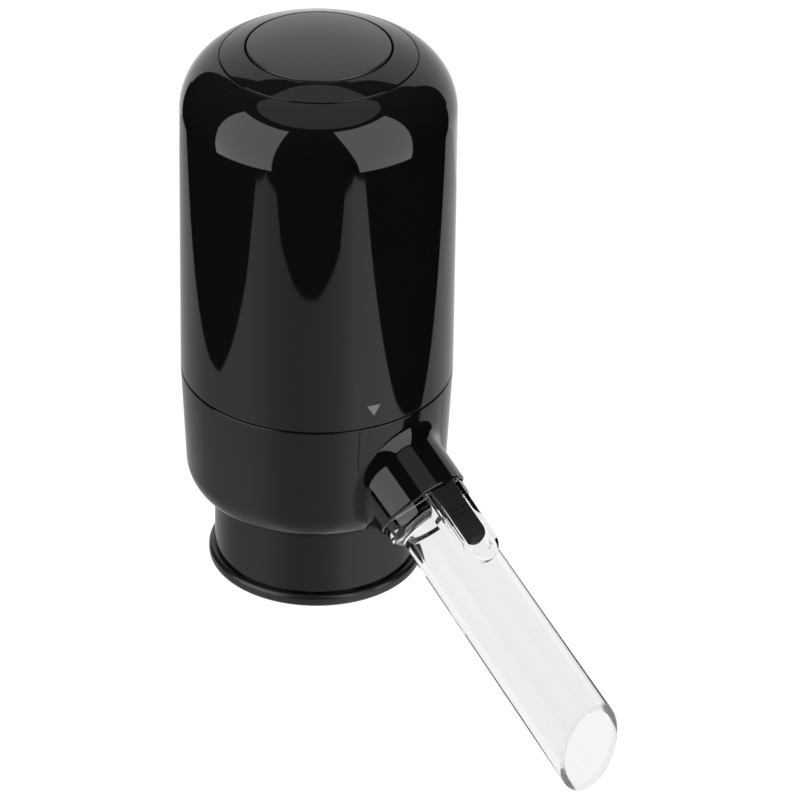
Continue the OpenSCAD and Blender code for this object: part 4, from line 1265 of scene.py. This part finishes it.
    def card(self, name: str, mesh: Mesh, strength: float) -> bpy.types.NodeTree:
        """Adds a card that the gloss sees, and that is faint where it is seen inside clear plastic.

        Args:
            name: Name of the card.
            mesh: Its shape, freed here.
            strength: Brightness, with 0 for black and 1 for white.

        Returns:
            The node tree of the card's material.
        """
        card = to_object(mesh, name)
        material = bpy.data.materials.new(name)
        tree = node_tree(material)
        glow = {
            "Base Color": BLACK,
            "Specular IOR Level": 0.0,
            "Emission Color": WHITE,
            "Emission Strength": strength,
        }
        depth = add_node(tree, "LightPath").outputs["Transmission Depth"]
        inside = add_node(tree, "MapRange", {"Value": depth, "To Max": self.clear_share})
        open_air = add_node(tree, "BsdfTransparent")
        mix_surface(tree, glow, open_air.outputs["BSDF"], inside.outputs["Result"])
        card.data.materials.append(material)
        card.visible_camera = False
        card.visible_diffuse = False
        card.visible_transmission = False
        card.visible_shadow = False
        LOG.info("%s: brightness %.2f", name, strength)
        return tree

    def pale_sheet(self) -> None:
        """Level white card below the part, with painted light that is brighter on the sides of the soft
        boxes.
        """
        mesh = bmesh.new()
        mesh.faces.new([mesh.verts.new(self.faced(x, y, self.floor_z + self.lift)) for x, y in self.sheet])
        brightest = max(glow for _, glow in self.sheet_glow)
        tree = self.card("pale_sheet", mesh, brightest)
        place = add_node(tree, "TexCoord").outputs["Object"]
        turn = (0.0, 0.0, math.radians(VIEW_TURN_DEG + 90.0))
        mapping = add_node(tree, "Mapping", {"Vector": place, "Rotation": turn})
        split = add_node(tree, "SeparateXYZ", {"Vector": mapping.outputs["Vector"]}).outputs
        around = add_math(tree, "ARCTAN2", split["Y"], split["X"])
        share = add_node(tree, "MapRange", {"Value": around, "From Min": -math.pi, "From Max": math.pi})
        # The ramp paints the light of the soft boxes onto the sheet, by azimuth.
        ramp = add_node(tree, "ValToRGB", {"Fac": share.outputs["Result"]})
        stops = ramp.color_ramp.elements
        for azimuth, glow in self.sheet_glow[1:-1]:
            stops.new((azimuth + 180.0) / 360.0).color = (*[glow / brightest] * 3, 1.0)
        for stop, (azimuth, glow) in zip((stops[0], stops[-1]), (self.sheet_glow[0], self.sheet_glow[-1])):
            stop.position = (azimuth + 180.0) / 360.0
            stop.color = (*[glow / brightest] * 3, 1.0)
        feed(tree, tree.nodes["Principled BSDF"], {"Emission Color": ramp.outputs["Color"]})

    def dark_table(self) -> None:
        """Level dark card around the white one, open at the back."""
        mesh = bmesh.new()
        z = self.floor_z + self.lift
        shares = (1.0, self.table_share)
        near, far = [[mesh.verts.new(self.faced(x * k, y * k, z)) for x, y in self.sheet] for k in shares]
        for i in range(1, len(self.sheet)):
            mesh.faces.new((near[i - 1], far[i - 1], far[i], near[i]))
        self.card("dark_table", mesh, 0.0)

    def dark_hood(self) -> None:
        """Dark hood around the part and over it, open at the back."""
        mesh = bmesh.new()
        bmesh.ops.create_grid(mesh, x_segments=360, y_segments=24, size=1.0)
        for vert in mesh.verts:
            azimuth = 180.0 * vert.co.x
            low = self.skyline(azimuth)
            elevation = low + (90.0 - low) * (vert.co.y + 1.0) / 2.0
            vert.co = self.towards(azimuth, elevation, self.hood_r)
        self.card("dark_hood", mesh, 0.0)

    def soft_box(self, name: str, azimuths: Point, elevations: Point, lean: float, strength: float) -> None:
        """Bright card in the hood.

        Args:
            name: Name of the card.
            azimuths: Its sides.
            elevations: Its lower and upper edge.
            lean: Degrees that its first side moves by towards the upper edge.
            strength: Brightness.
        """
        mesh = bmesh.new()
        bmesh.ops.create_grid(mesh, x_segments=32, y_segments=48, size=1.0)
        for vert in mesh.verts:
            u, v = (vert.co.x + 1.0) / 2.0, (vert.co.y + 1.0) / 2.0
            first = azimuths[0] + lean * v
            azimuth = first + (azimuths[1] - first) * u
            elevation = elevations[0] + (elevations[1] - elevations[0]) * v
            vert.co = self.towards(azimuth, elevation, self.card_r)
        self.card(name, mesh, strength)

    def top_light(self, strength: float, across: float, ahead: Point) -> None:
        """Round card overhead.

        Args:
            strength: Brightness.
            across: Half of its width.
            ahead: Degrees that it reaches from the zenith towards the camera and away from it.
        """
        mesh = bmesh.new()
        bmesh.ops.create_grid(mesh, x_segments=24, y_segments=24, size=1.0)
        middle, half = (ahead[0] - ahead[1]) / 2.0, (ahead[0] + ahead[1]) / 2.0
        for vert in mesh.verts:
            x, y = vert.co.x, vert.co.y
            scale = max(abs(x), abs(y)) / max(math.hypot(x, y), 1e-6)
            right, front = across * x * scale, middle - half * y * scale
            azimuth = math.degrees(math.atan2(right, front))
            vert.co = self.towards(azimuth, 90.0 - math.hypot(right, front), self.card_r)
        self.card("top_light", mesh, strength)

    def build(self) -> None:
        """Builds the whole studio."""
        self.surroundings()
        self.floor()
        self.pale_sheet()
        self.dark_table()
        self.dark_hood()
        self.soft_box("left_box", azimuths=(-37.0, -88.0), elevations=(-18.0, 47.0), lean=7.0, strength=3.2)
        self.soft_box("right_box", azimuths=(33.0, 79.0), elevations=(-18.0, 50.0), lean=-17.0, strength=3.2)
        self.top_light(strength=0.8, across=33.0, ahead=(34.0, 22.0))
        self.lamp("key_lamp", place=(-0.35, 0.15, 1.6), power=26.0)
        self.lamp("back_lamp", place=(0.35, 1.1, 1.3), power=16.0)


def main() -> None:
    """Builds the camera, the part's pieces and the studio in order."""
    logging.basicConfig(level=logging.INFO, format="%(name)s %(message)s")
    bpy.context.scene.view_settings.view_transform = "Standard"
    Viewpoint().build()
    InnerWorks(SLOT_FINISH).dress()
    for assembly in (Head(), Button(), Base(), Spout(), Lock()):
        assembly.build()
    Studio().build()


if __name__ == "__main__":
    main()
